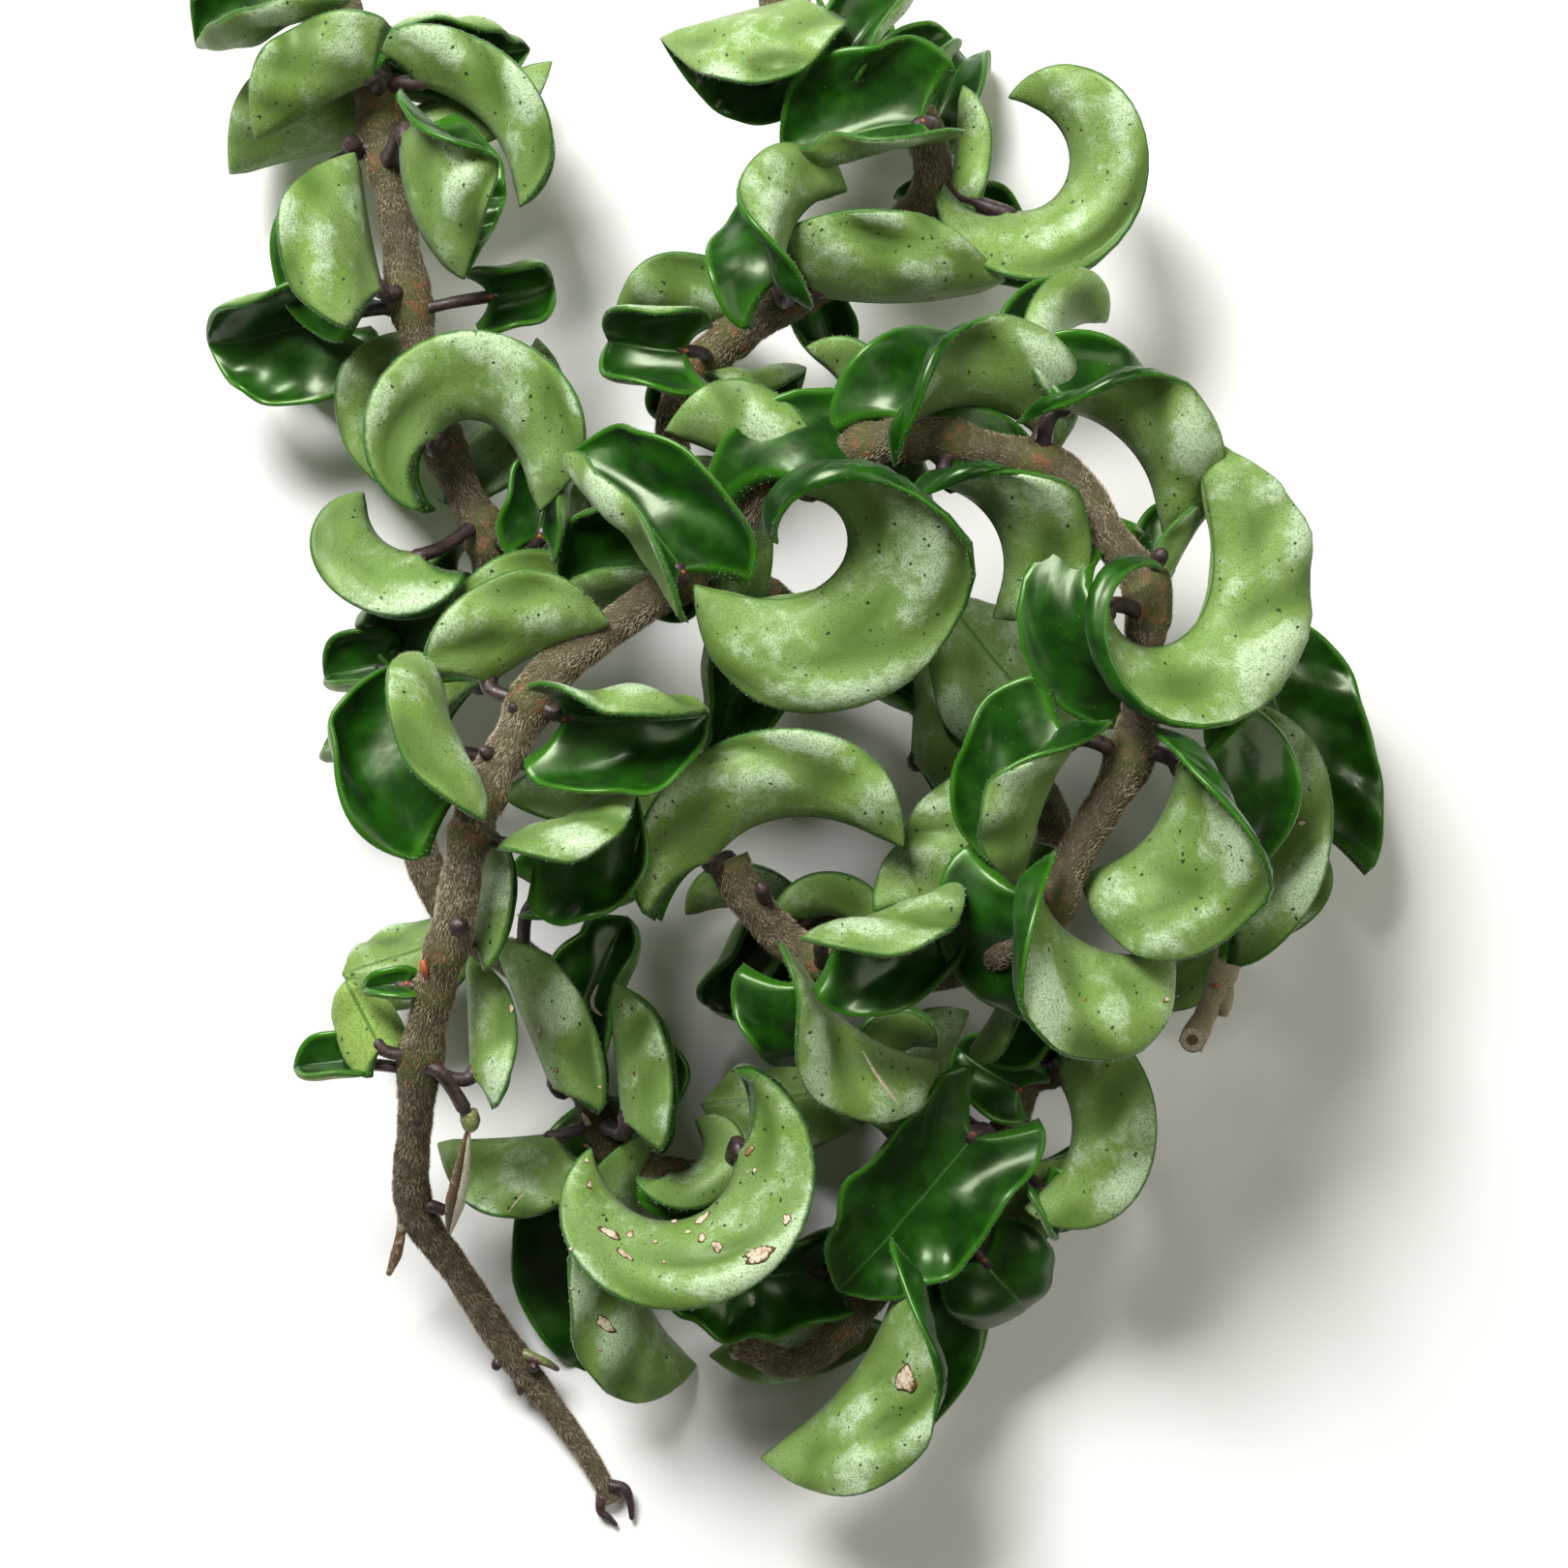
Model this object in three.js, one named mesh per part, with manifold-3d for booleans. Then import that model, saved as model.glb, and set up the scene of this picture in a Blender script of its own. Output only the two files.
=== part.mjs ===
// Hindu rope plant: cut trailing stems of folded, curled waxy leaves, lying in a loose heap.
// Millimetres, +Z up, the surface it lies on is z = 0, the middle of its footprint is the origin.
import * as THREE from 'three';
import { mergeVertices } from 'three/addons/utils/BufferGeometryUtils.js';
import Module from 'manifold-3d';

// Picture frame in which the stems and leaves were measured
const FRAME_HALF = 810;          // half the side of the square frame, picture units
const UNITS_PER_MM = 7;          // picture units per millimetre at the reference height
const EYE_HEIGHT = 680;          // eye above the surface, mm
const REFERENCE_HEIGHT = 28;     // height at which UNITS_PER_MM holds, mm
const CENTRE_X = 1.54;           // middle of the footprint, mm
const CENTRE_Y = 7.78;

// Leaf blade
const BLADE_THICKNESS = 1.5;     // at the midrib, mm
const MARGIN_THICKNESS = 0.9;    // at the leaf margin, mm
const LOBE_LENGTH = 0.24;        // how far the two basal lobes reach back, share of leaf length
const LOBE_SPAN = 0.34;          // share of the leaf over which the basal flare fades
const BASE_WIDTH = 0.5;          // blade width at the petiole, share of full width
const WIDEST = 0.35;             // where the blade is widest, share of leaf length
const TIP_POWER = 3;             // how late the blade narrows to its tip
const TWIST_SPAN = 0.42;         // share of the leaf that takes the twist
const WIDE_COLUMNS = 2;          // facets across each half of a longer blade
const NARROW_COLUMNS = 1;        // and of a short one
const LONG_LEAF = 27;            // leaves longer than this get most facets, mm
const SHORT_LEAF = 18;           // leaves up to this get fewest, mm
const LONG_ROWS = 5;             // facets along a long blade
const MEDIUM_ROWS = 4;
const SHORT_ROWS = 3;
const LAST_STATION = 0.995;      // the tip stops this far along, so that it keeps a direction
const MIDRIB_STEPS = 24;         // steps in which the curled midrib is followed
const SECTION_STEPS = 12;        // steps in which a section of the blade is followed
const RIM_START = 0.45;          // where a margin that folds out starts to turn, share of the half
const RIM_ROLL = 0.25;           // how much of the half takes that turn
const RIM_SPAN = 0.52;           // share of the leaf along which the folded-out margin tapers off
const RIM_COLUMNS = [0.45, 0.72, 1];   // facets across a half whose margin folds out

// Petioles and stems
const PETIOLE_RADIUS = 1.3;      // mm
const PETIOLE_SIDES = 3;
const PETIOLE_ROOT = 2;          // how far a petiole runs on into the blade, mm
const PETIOLE_SAG = 0.16;        // how far a petiole bows up, share of its reach
const PETIOLE_LEAVE = 0.4;       // how straight it leaves the stem, share of its reach
const PETIOLE_ARRIVE = 0.3;      // how straight it meets the blade, share of its reach
const PETIOLE_SECTION = 15;      // reach for which a petiole gets one more ring, mm
const STEM_SIDES = 5;
const STEM_STEP = 11;            // distance between stem rings, mm
const CUT_DEPTH = 60;            // depth of the block that flattens the underside, mm
const CUT_SIZE = 400;            // its width, mm

// Stems: rows of [picture x, picture y, height mm, radius mm]
// Leaves: rows of [picture x, picture y, height mm, heading, pitch, roll, length mm, bend,
//   opening of the margins, twist, ease of the bend, half width per length, basal flare, fold,
//   turn of the folded-out margin, whose sign names the half],
//   with every angle in degrees; the spot is where the blade meets its petiole
const VINE_LEFT_STEM = [
  [335, -30, 20, 2.7],
  [352, 10, 22, 2.7],
  [385, 80, 24, 2.7],
  [395, 145, 25, 2.9],
  [408, 210, 26, 2.6],
  [420, 292, 26, 2.9],
  [432, 350, 25, 2.5],
  [456, 453, 25, 2.8],
  [482, 515, 25, 2.6],
  [506, 564, 24, 3.0],
  [505, 630, 18, 2.6],
  [450, 700, 15, 2.6],
  [425, 800, 15, 2.8],
  [450, 920, 15, 2.6],
  [500, 975, 15, 2.5],
  [556, 1007, 16, 2.7],
  [600, 1110, 16, 2.5],
  [655, 1205, 16, 2.6],
  [740, 1213, 18, 2.5],
  [790, 1190, 16, 2.2],
];
const VINE_LEFT_LEAVES = [
  [332, 0, 28, 197, 0, -30, 20, 10, -20, 0, 0, 0.75, 40, 80, 0],
  [385, 68, 14, 6, 0, -10, 24, 10, -25, 0, 0, 0.5, 30, 80, 0],
  [388, 78, 34, 203, 0, -95, 20, 10, 5, 0, 0, 0.63, 15, 62, 0],
  [376, 145, 15, 189, 0, -85, 21, 10, 5, 0, 0, 0.79, 20, 62, 0],
  [418, 138, 40, -95, 0, 85, 24, -55, 5, 5, 0, 0.71, 30, 62, -150],
  [415, 120, 20, 20, 0, -100, 24, 0, 10, 0, 0, 0.42, 10, 62, 0],
  [392, 302, 32, 105, 0, 80, 21, 10, 0, 0, 0, 0.82, 30, 64, 0],
  [345, 328, 19, 195, 0, 28, 20, 20, 20, 0, 0, 0.6, 40, 80, 0],
  [345, 335, 3.2, 235, 0, 20, 11, 40, 0, 0, 0, 0.9, 40, 75, 0],
  [505, 306, 27, 10, 0, -15, 10, 20, -10, 0, 0, 0.85, 40, 80, 0],
  [448, 455, 37, 75, 0, 92, 26, 150, 5, 8, 1.2, 0.53, 10, 62, 0],
  [470, 470, 16, 35, 0, -95, 22, 40, 10, 0, 0, 0.53, 10, 62, 0],
  [440, 462, 15, 110, 0, 90, 18, 30, 5, 0, 0, 0.79, 10, 62, 0],
  [436, 574, 34, 190, 0, 90, 15, 115, 5, 0, 0, 0.8, 10, 62, 0],
  [475, 596, 11, 215, 0, 25, 18, 30, -10, 0, 0, 0.7, 40, 80, 0],
  [560, 556, 33.3, 80, 0, 25, 15, 20, 0, 0, 0, 0.5, 40, 80, 0],
  [590, 596, 17, 88, 0, -90, 14, 0, 10, 0, 0, 0.35, 10, 62, 0],
  [498, 708, 29.5, 75, 0, 92, 24, 60, 5, 0, 0, 0.47, 10, 62, 0],
  [400, 690, 9, 185, 0, -20, 10, 20, -20, 0, 0, 0.8, 30, 80, 0],
  [390, 790, 14, 165, 0, -60, 9, 20, 5, 0, 0, 0.7, 10, 62, 0],
  [560, 790, 24, -5, 0, -95, 24, -10, 5, 0, 0, 0.42, 10, 62, 0],
  [560, 925, 25, 10, 0, 30, 16, 20, 10, 0, 0, 0.5, 30, 80, 0],
  [452, 976, 17, 200, 0, 150, 15, 10, 40, 0, 0, 0.55, 20, 80, 0],
  [575, 1125, 26, 112, 0, -90, 24, 0, 5, 0, 0, 0.47, 10, 62, 0],
  [648, 1160, 29, 98, 0, -88, 21, -5, 5, 0, 0, 0.47, 10, 62, 0],
  [664, 1165, 15, 75, 0, -10, 14, 20, 10, 0, 0, 0.45, 30, 80, 0],
  [575, 1175, 17, 188, 0, 85, 18, 10, 10, 0, 0, 0.8, 15, 62, 0],
  [764, 1188, 33, -85, 0, 92, 35, 185, 5, 0, 0.1, 0.42, 5, 62, 0],
  [690, 1215, 22, -10, 0, -70, 13, 150, 5, 0, 0, 0.6, 20, 62, 0],
  [668, 1222, 9.9, -112, 0, -62, 34, 80, 5, 0, 0, 0.58, 20, 62, 0],
  [428, 84, 27, -8, 0, 95, 27, 85, 5, 0, 0, 0.38, 10, 62, 0],
  [605, 1062, 22, 72, 0, 15, 18, 20, -10, 0, 0, 0.55, 30, 80, 0],
];
const VINE_RIGHT_STEM = [
  [800, -30, 18, 2.7],
  [810, 20, 20, 2.7],
  [860, 65, 20, 2.7],
  [920, 95, 21, 2.8],
  [960, 150, 21, 2.7],
  [960, 200, 20, 2.7],
  [900, 260, 20, 2.6],
  [822, 305, 22, 2.9],
  [735, 368, 20, 2.8],
  [695, 440, 17, 2.6],
  [720, 540, 15, 2.6],
  [820, 640, 15, 2.6],
  [930, 710, 15, 2.6],
  [1040, 780, 16, 2.6],
  [1090, 860, 16, 2.5],
  [1040, 930, 15, 2.5],
  [930, 960, 15, 2.3],
  [830, 950, 15, 2.2],
];
const VINE_RIGHT_LEAVES = [
  [830, 0, 27, 195, 0, 80, 22, 0, 5, 0, 0, 0.79, 20, 62, 0],
  [860, 20, 14, -75, 0, 40, 13, 40, 0, 0, 0, 0.7, 40, 75, 0],
  [880, 60, 30, 60, 0, 30, 14, 40, 0, 0, 0, 0.6, 40, 75, 0],
  [930, 90, 18, 50, 0, 30, 12, 40, 0, 0, 0, 0.6, 40, 75, 0],
  [955, 128, 33, 188, 0, -30, 22, 20, -5, 0, 0, 0.65, 30, 78, 0],
  [965, 130, 5.3, 70, 0, 10, 14, 50, 0, 0, 0, 0.75, 30, 75, 0],
  [985, 205, 23, 80, 0, -90, 17, 10, 10, 0, 0, 0.35, 10, 62, 0],
  [1038, 220, 27, -20, 0, -92, 30, 200, 5, 0, 0.2, 0.45, 20, 62, 0],
  [806, 290, 42.5, 95, 0, 50, 22, 95, 0, 35, 0, 0.52, 35, 66, -120],
  [838, 300, 31, -12, 0, 88, 29, -30, 5, 0, 0, 0.53, 20, 62, 0],
  [950, 240, 15, -5, 0, 15, 17, 30, 0, 0, 0, 0.6, 30, 78, 0],
  [745, 330, 20, 165, 0, -90, 16, 20, 5, 0, 0, 0.65, 20, 62, 0],
  [838, 305, 12, -65, 0, 0, 13, 20, 0, 0, 0, 0.5, 30, 80, 0],
  [710, 362, 30, 175, 0, 10, 13, 40, -10, 0, 0, 0.8, 40, 80, 0],
  [712, 375, 14, -110, 0, 0, 10, 40, -10, 0, 0, 0.7, 40, 80, 0],
  [745, 385, 17, -5, 0, -60, 13, 20, 0, 0, 0, 0.6, 30, 75, 0],
  [1092, 765, 33, 128, 0, 165, 27, -5, 45, 0, 0, 0.42, 10, 80, 0],
  [945, 790, 25, 85, 0, -92, 24, 10, 5, 0, 0, 0.53, 10, 62, 0],
  [958, 935, 39.5, 55, 0, 160, 24, 0, 40, 0, 0, 0.4, 10, 80, 0],
  [880, 690, 23, -20, 0, 30, 13, 40, 5, 0, 0, 0.5, 30, 75, 0],
  [730, 560, 24, 230, 0, 40, 15, 40, 5, 0, 0, 0.5, 30, 75, 0],
  [800, 945, 18, 150, 0, -90, 14, 60, 5, 0, 0, 0.55, 10, 62, 0],
  [830, 950, 31, 40, 0, 90, 13, 130, 5, 0, 0, 0.55, 10, 62, 0],
  [815, 965, 14, 250, 0, 40, 13, 20, 5, 0, 0, 0.5, 30, 75, 0],
  [770, 640, 21, -100, 0, 20, 22, 20, -10, 0, 0, 0.5, 30, 80, 0],
  [800, 955, 13, -125, 0, 15, 17, 30, -5, 0, 0, 0.55, 30, 80, 0],
];
const VINE_FRONT_STEM = [
  [752, 890, 40, 2.6],
  [765, 918, 40, 2.8],
  [830, 985, 39, 2.7],
  [900, 1012, 40, 2.6],
  [985, 1000, 44, 2.7],
  [1045, 975, 50, 2.6],
  [1085, 935, 54, 3.0],
  [1110, 885, 55, 2.7],
  [1145, 825, 56, 2.7],
  [1165, 790, 56, 3.1],
  [1177, 740, 56, 2.7],
  [1182, 670, 56, 2.6],
  [1185, 610, 56, 3.0],
  [1150, 560, 56, 2.6],
  [1100, 492, 55, 3.0],
  [1030, 468, 55, 2.6],
  [940, 452, 55, 3.0],
  [870, 468, 53, 2.6],
  [790, 506, 50, 3.0],
  [745, 550, 48, 2.6],
  [700, 600, 48, 2.9],
  [650, 635, 49, 2.6],
  [605, 668, 51, 2.7],
  [560, 706, 54, 3.1],
  [530, 765, 55, 2.8],
  [500, 815, 55, 3.1],
  [482, 880, 54, 2.7],
  [468, 955, 52, 3.0],
  [450, 1020, 47, 2.6],
  [435, 1092, 41, 2.9],
  [428, 1170, 31, 2.4],
  [428, 1246, 21, 2.8],
  [470, 1310, 13, 2.2],
  [525, 1393, 6.5, 2.4],
  [568, 1450, 3.4, 1.8],
  [610, 1510, 1.6, 1.5],
  [632, 1550, 1.1, 1.4],
];
const VINE_FRONT_LEAVES = [
  [730, 893, 45, 62, 0, 95, 32.5, 98, 8, 5, 0.5, 0.44, 0, 62, 0],
  [862, 966, 53, 15, 0, -48, 20, 20, -10, -10, 0, 0.7, 40, 76, 0],
  [830, 1014, 40, -55, 0, -50, 26, 60, 0, -45, 0, 0.5, 40, 66, 0],
  [1072, 922, 57, -74, 0, -70, 25, 88, 8, -18, 0.5, 0.71, 25, 60, 150],
  [1082, 928, 46, 172, 0, -100, 16, 50, 10, 0, 0, 0.6, 20, 62, 0],
  [1107, 763, 58, 238, 0, -60, 22, 30, 0, -10, 0, 0.65, 20, 64, 150],
  [1218, 788, 57, -90, 0, 68, 24, 85, 8, 20, 0, 0.86, 25, 60, -150],
  [1143, 628, 62, -88, 0, -72, 47, 180, 8, -16, 1.6, 0.32, 25, 60, 150],
  [1205, 595, 50, 70, 0, 60, 12, 30, 10, 0, 0, 0.6, 20, 62, 0],
  [1094, 420, 58, -5, 0, 64, 27, 85, 8, 24, 0.3, 0.48, 35, 60, -150],
  [976, 500, 58, -12, 0, 64, 25, 108, 8, 20, 0.3, 0.55, 30, 60, -150],
  [938, 438, 57, 40, 0, 64, 26, 95, 5, 24, 0.3, 0.55, 25, 60, -150],
  [900, 440, 48, 110, 0, -90, 15, 40, 10, 0, 0, 0.5, 20, 62, 0],
  [832, 511, 60, 5, 0, 70, 38.5, 208, 8, 18, 0.9, 0.48, 35, 60, -150],
  [735, 618, 40, 68, 0, -92, 22, 70, 0, 0, 0, 0.42, 10, 62, 0],
  [790, 495, 50, 140, 0, -105, 16, 30, 10, 0, 0, 0.75, 20, 62, 0],
  [704, 594, 54, 124, 0, -34, 25, 35, -22, 0, 0, 0.56, 50, 82, 0],
  [700, 606, 34, 183, 0, -40, 18, 10, -25, 0, 0, 0.95, 30, 82, 0],
  [500, 706, 53, 40, 0, 95, 20, 30, 5, 0, 0, 0.68, 10, 62, 0],
  [582, 740, 57, -3, 0, -28, 21, 20, -25, 0, 0, 0.65, 60, 82, 0],
  [548, 874, 53, 26, 0, -50, 17, 10, -20, -5, 0, 0.9, 60, 82, 0],
  [480, 816, 56, 119, 0, 45, 21, 30, -25, 0, 0, 0.9, 40, 82, 0],
  [422, 1018, 47, 182, 0, -20, 7, 20, 10, 0, 0, 0.45, 30, 80, 0],
  [488, 972, 46, 80, 0, -90, 17, 5, 15, 0, 0, 0.4, 10, 62, 0],
  [490, 1114, 40, 90, 0, -95, 18, 5, 20, 0, 0, 0.45, 10, 62, 0],
  [394, 1086, 43, 118, 0, 165, 11.5, 10, 20, 0, 0, 0.5, 30, 78, 0],
  [366, 1098, 40, 183, 0, -30, 9, 10, 5, 0, 0, 0.6, 30, 75, 0],
  [1088, 385, 50, 100, 0, 60, 15, 120, -20, 0, 0, 0.7, 30, 75, 0],
];
const VINE_LOWER_STEM = [
  [1230, 1080, 22, 1.9],
  [1245, 1050, 22, 1.6],
  [1262, 1010, 23, 2.2],
  [1275, 960, 23, 2.4],
  [1250, 910, 20, 2.6],
  [1180, 930, 18, 2.6],
  [1190, 1010, 18, 2.6],
  [1165, 1070, 19, 2.6],
  [1096, 1098, 20, 2.8],
  [1058, 1115, 19, 2.6],
  [1040, 1170, 18, 2.6],
  [977, 1253, 18, 2.6],
  [920, 1300, 17, 2.8],
  [870, 1375, 15, 2.5],
  [820, 1408, 13, 2.2],
  [768, 1392, 13, 2.0],
];
const VINE_LOWER_LEAVES = [
  [1352, 858, 15, 104, 0, -5, 36, 5, 60, 0, 0, 0.36, 20, 88, 0],
  [1262, 925, 32, 62, 0, -92, 30, 60, 5, 0, 0, 0.5, 10, 62, 0],
  [1275, 940, 17, 8, 0, -88, 17, 60, 5, 0, 0, 0.45, 10, 62, 0],
  [1250, 958, 4.1, 232, 0, 88, 16, 0, 5, 0, 0, 0.5, 10, 62, 0],
  [1135, 1080, 22, 15, 0, 5, 8, 20, 10, 0, 0, 0.5, 20, 80, 0],
  [1092, 1108, 27, -50, 0, 92, 24, 110, 5, 0, 0, 0.58, 15, 62, 0],
  [1075, 1228, 26, -60, 0, 20, 8, 40, -10, 0, 0, 0.7, 30, 75, 0],
  [1015, 1300, 22, -50, 0, 0, 13, 60, 110, 0, 0, 0.7, 0, 75, 0],
  [1006, 1170, 28, 231, 0, 5, 32, 20, 32, 0, 0, 0.38, 30, 88, 0],
  [940, 1130, 24, 160, 0, 95, 14, 200, 5, 0, 0, 0.6, 10, 62, 0],
  [985, 1140, 5, 110, 0, 85, 15, 60, 5, 0, 0, 0.7, 15, 62, 0],
  [1045, 1020, 33, -110, 0, 45, 12, 30, -10, 0, 0, 0.8, 40, 66, 0],
  [1055, 1125, 22, 150, 0, 10, 12, 30, 10, 0, 0, 0.6, 30, 80, 0],
  [1070, 1200, 14, 235, 0, 95, 22, 0, 10, 0, 0, 0.42, 10, 62, 0],
  [928, 1332, 23, -104, 0, 76, 34, 46, 5, 10, 0.3, 0.53, 25, 62, -140],
  [850, 1310, 16, 185, 0, 15, 26, -8, 10, 0, 0, 0.4, 20, 85, 0],
  [872, 1350, 5.4, 195, 0, 90, 22, -10, 5, 0, 0, 0.47, 10, 62, 0],
  [860, 1130, 14, 185, 0, 160, 20, 0, 40, 0, 0, 0.4, 10, 80, 0],
];

const wasm = await Module();
wasm.setup();

const radians = (degrees) => degrees * Math.PI / 180;
const clamp01 = (value) => Math.min(1, Math.max(0, value));

// A point of the picture frame at a given height, in millimetres
function place(unitX, unitY, height) {
  const scale = (EYE_HEIGHT - height) / (EYE_HEIGHT - REFERENCE_HEIGHT) / UNITS_PER_MM;
  return new THREE.Vector3(
    (unitX - FRAME_HALF) * scale - CENTRE_X,
    (FRAME_HALF - unitY) * scale - CENTRE_Y,
    height,
  );
}

function geometryFrom(points, faces) {
  const geometry = new THREE.BufferGeometry();
  const coordinates = points.flatMap((point) => [point.x, point.y, point.z]);
  geometry.setAttribute('position', new THREE.Float32BufferAttribute(coordinates, 3));
  geometry.setIndex(faces.flat());
  return geometry;
}

function solidFrom(geometry) {
  const bare = geometry.clone();
  bare.deleteAttribute('normal');
  bare.deleteAttribute('uv');
  const merged = mergeVertices(bare, 1e-4);
  return new wasm.Manifold(new wasm.Mesh({
    numProp: 3,
    vertProperties: new Float32Array(merged.attributes.position.array),
    triVerts: new Uint32Array(merged.index.array),
  }));
}

function geometryOf(solid) {
  const mesh = solid.getMesh();
  const geometry = new THREE.BufferGeometry();
  geometry.setAttribute('position', new THREE.BufferAttribute(mesh.vertProperties, 3));
  geometry.setIndex(new THREE.BufferAttribute(mesh.triVerts, 1));
  return geometry;
}

// Round tube whose radius changes along a smooth curve, closed at both ends
function tube(curve, radiusAt, rings, sides) {
  const frames = curve.computeFrenetFrames(rings, false);
  const points = [];
  const faces = [];
  for (let ring = 0; ring <= rings; ring += 1) {
    const centre = curve.getPointAt(ring / rings);
    const radius = radiusAt(ring / rings);
    for (let side = 0; side < sides; side += 1) {
      const angle = 2 * Math.PI * side / sides;
      points.push(centre.clone()
        .addScaledVector(frames.normals[ring], radius * Math.cos(angle))
        .addScaledVector(frames.binormals[ring], radius * Math.sin(angle)));
    }
  }
  for (let ring = 0; ring < rings; ring += 1) {
    for (let side = 0; side < sides; side += 1) {
      const next = (side + 1) % sides;
      const a = ring * sides + side;
      const b = ring * sides + next;
      const c = a + sides;
      const d = b + sides;
      faces.push([a, b, d], [a, d, c]);
    }
  }
  const last = rings * sides;
  for (let side = 1; side < sides - 1; side += 1) {
    faces.push([0, side + 1, side], [last, last + side, last + side + 1]);
  }
  return geometryFrom(points, faces);
}

// Stem through its listed points, each with its own radius
function stemSolid(rows) {
  const curve = new THREE.CatmullRomCurve3(rows.map(([x, y, z]) => place(x, y, z)), false, 'centripetal');
  const rings = Math.round(curve.getLength() / STEM_STEP);
  const radiusAt = (share) => {
    const along = curve.getUtoTmapping(share) * (rows.length - 1);
    const first = Math.min(rows.length - 2, Math.floor(along));
    return THREE.MathUtils.lerp(rows[first][3], rows[first + 1][3], along - first);
  };
  return { curve, solid: solidFrom(tube(curve, radiusAt, rings, STEM_SIDES)) };
}

// Width of one half of the blade at a share of its length, as a share of its full width
function widthShare(along) {
  const base = along < WIDEST
    ? BASE_WIDTH + (1 - BASE_WIDTH) * Math.sqrt(1 - (1 - along / WIDEST) ** 2)
    : 1;
  return base * (1 - clamp01((along - WIDEST) / (1 - WIDEST)) ** TIP_POWER);
}

// Axes of a leaf where its blade starts: along it, out of its upper side and across it
function leafAxes(heading, pitch, roll) {
  const turn = radians(heading);
  const lift = radians(pitch);
  const lean = radians(roll);
  const level = new THREE.Vector3(Math.cos(turn), Math.sin(turn), 0);
  const left = new THREE.Vector3(-Math.sin(turn), Math.cos(turn), 0);
  const up = new THREE.Vector3(0, 0, 1);
  const along = level.clone().multiplyScalar(Math.cos(lift)).addScaledVector(up, Math.sin(lift));
  const rise = up.multiplyScalar(Math.cos(lift)).addScaledVector(level, -Math.sin(lift));
  const upper = rise.multiplyScalar(Math.cos(lean)).addScaledVector(left, Math.sin(lean));
  return { along, upper, across: new THREE.Vector3().crossVectors(upper, along) };
}

// Point of the blade's middle surface; along runs 0 to 1, across runs -1 to 1
function bladePoint(leaf, along, across) {
  const [unitX, unitY, height, heading, pitch, roll, length] = leaf;
  const [bend, opening, twist, ease, width, flare, fold, rim] = leaf.slice(7);
  const axes = leafAxes(heading, pitch, roll);
  const out = Math.abs(across);
  const station = along - LOBE_LENGTH * (1 - along) ** 3 * out ** 1.5;
  const angleAt = (s) => radians(bend) * (s < 0 ? (1 + ease) * s : s + ease * s * (1 - s));
  const step = station / MIDRIB_STEPS;
  let forward = 0;
  let down = 0;
  for (let index = 0; index < MIDRIB_STEPS; index += 1) {
    const angle = angleAt((index + 0.5) * step);
    forward += Math.cos(angle) * step * length;
    down -= Math.sin(angle) * step * length;
  }
  const turned = angleAt(station);
  const upper = axes.upper.clone().multiplyScalar(Math.cos(turned))
    .addScaledVector(axes.along, Math.sin(turned));
  const share = clamp01(station / TWIST_SPAN);
  const spin = radians(twist) * share * share * (3 - 2 * share);
  const normal = upper.clone().multiplyScalar(Math.cos(spin)).addScaledVector(axes.across, Math.sin(spin));
  const side = axes.across.clone().multiplyScalar(Math.cos(spin)).addScaledVector(upper, -Math.sin(spin));
  const half = width * length * widthShare(along);
  const first = radians(fold);
  const change = radians(opening + flare * clamp01(1 - along / LOBE_SPAN) ** 1.5) - first;
  const turnedOver = across * rim > 0 ? radians(Math.abs(rim)) : 0;
  const rimStart = THREE.MathUtils.lerp(RIM_START, 1, clamp01(along / RIM_SPAN));
  let sideways = 0;
  let outward = 0;
  for (let index = 0; index < SECTION_STEPS; index += 1) {
    const spot = out * (index + 0.5) / SECTION_STEPS;
    const rolled = clamp01((spot - rimStart) / RIM_ROLL);
    const angle = first + change * spot + turnedOver * rolled * rolled * (3 - 2 * rolled);
    sideways += half * Math.sin(angle) * out / SECTION_STEPS;
    outward += half * Math.cos(angle) * out / SECTION_STEPS;
  }
  return place(unitX, unitY, height)
    .addScaledVector(axes.along, forward)
    .addScaledVector(axes.upper, down)
    .addScaledVector(normal, outward)
    .addScaledVector(side, sideways * Math.sign(across));
}

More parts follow.
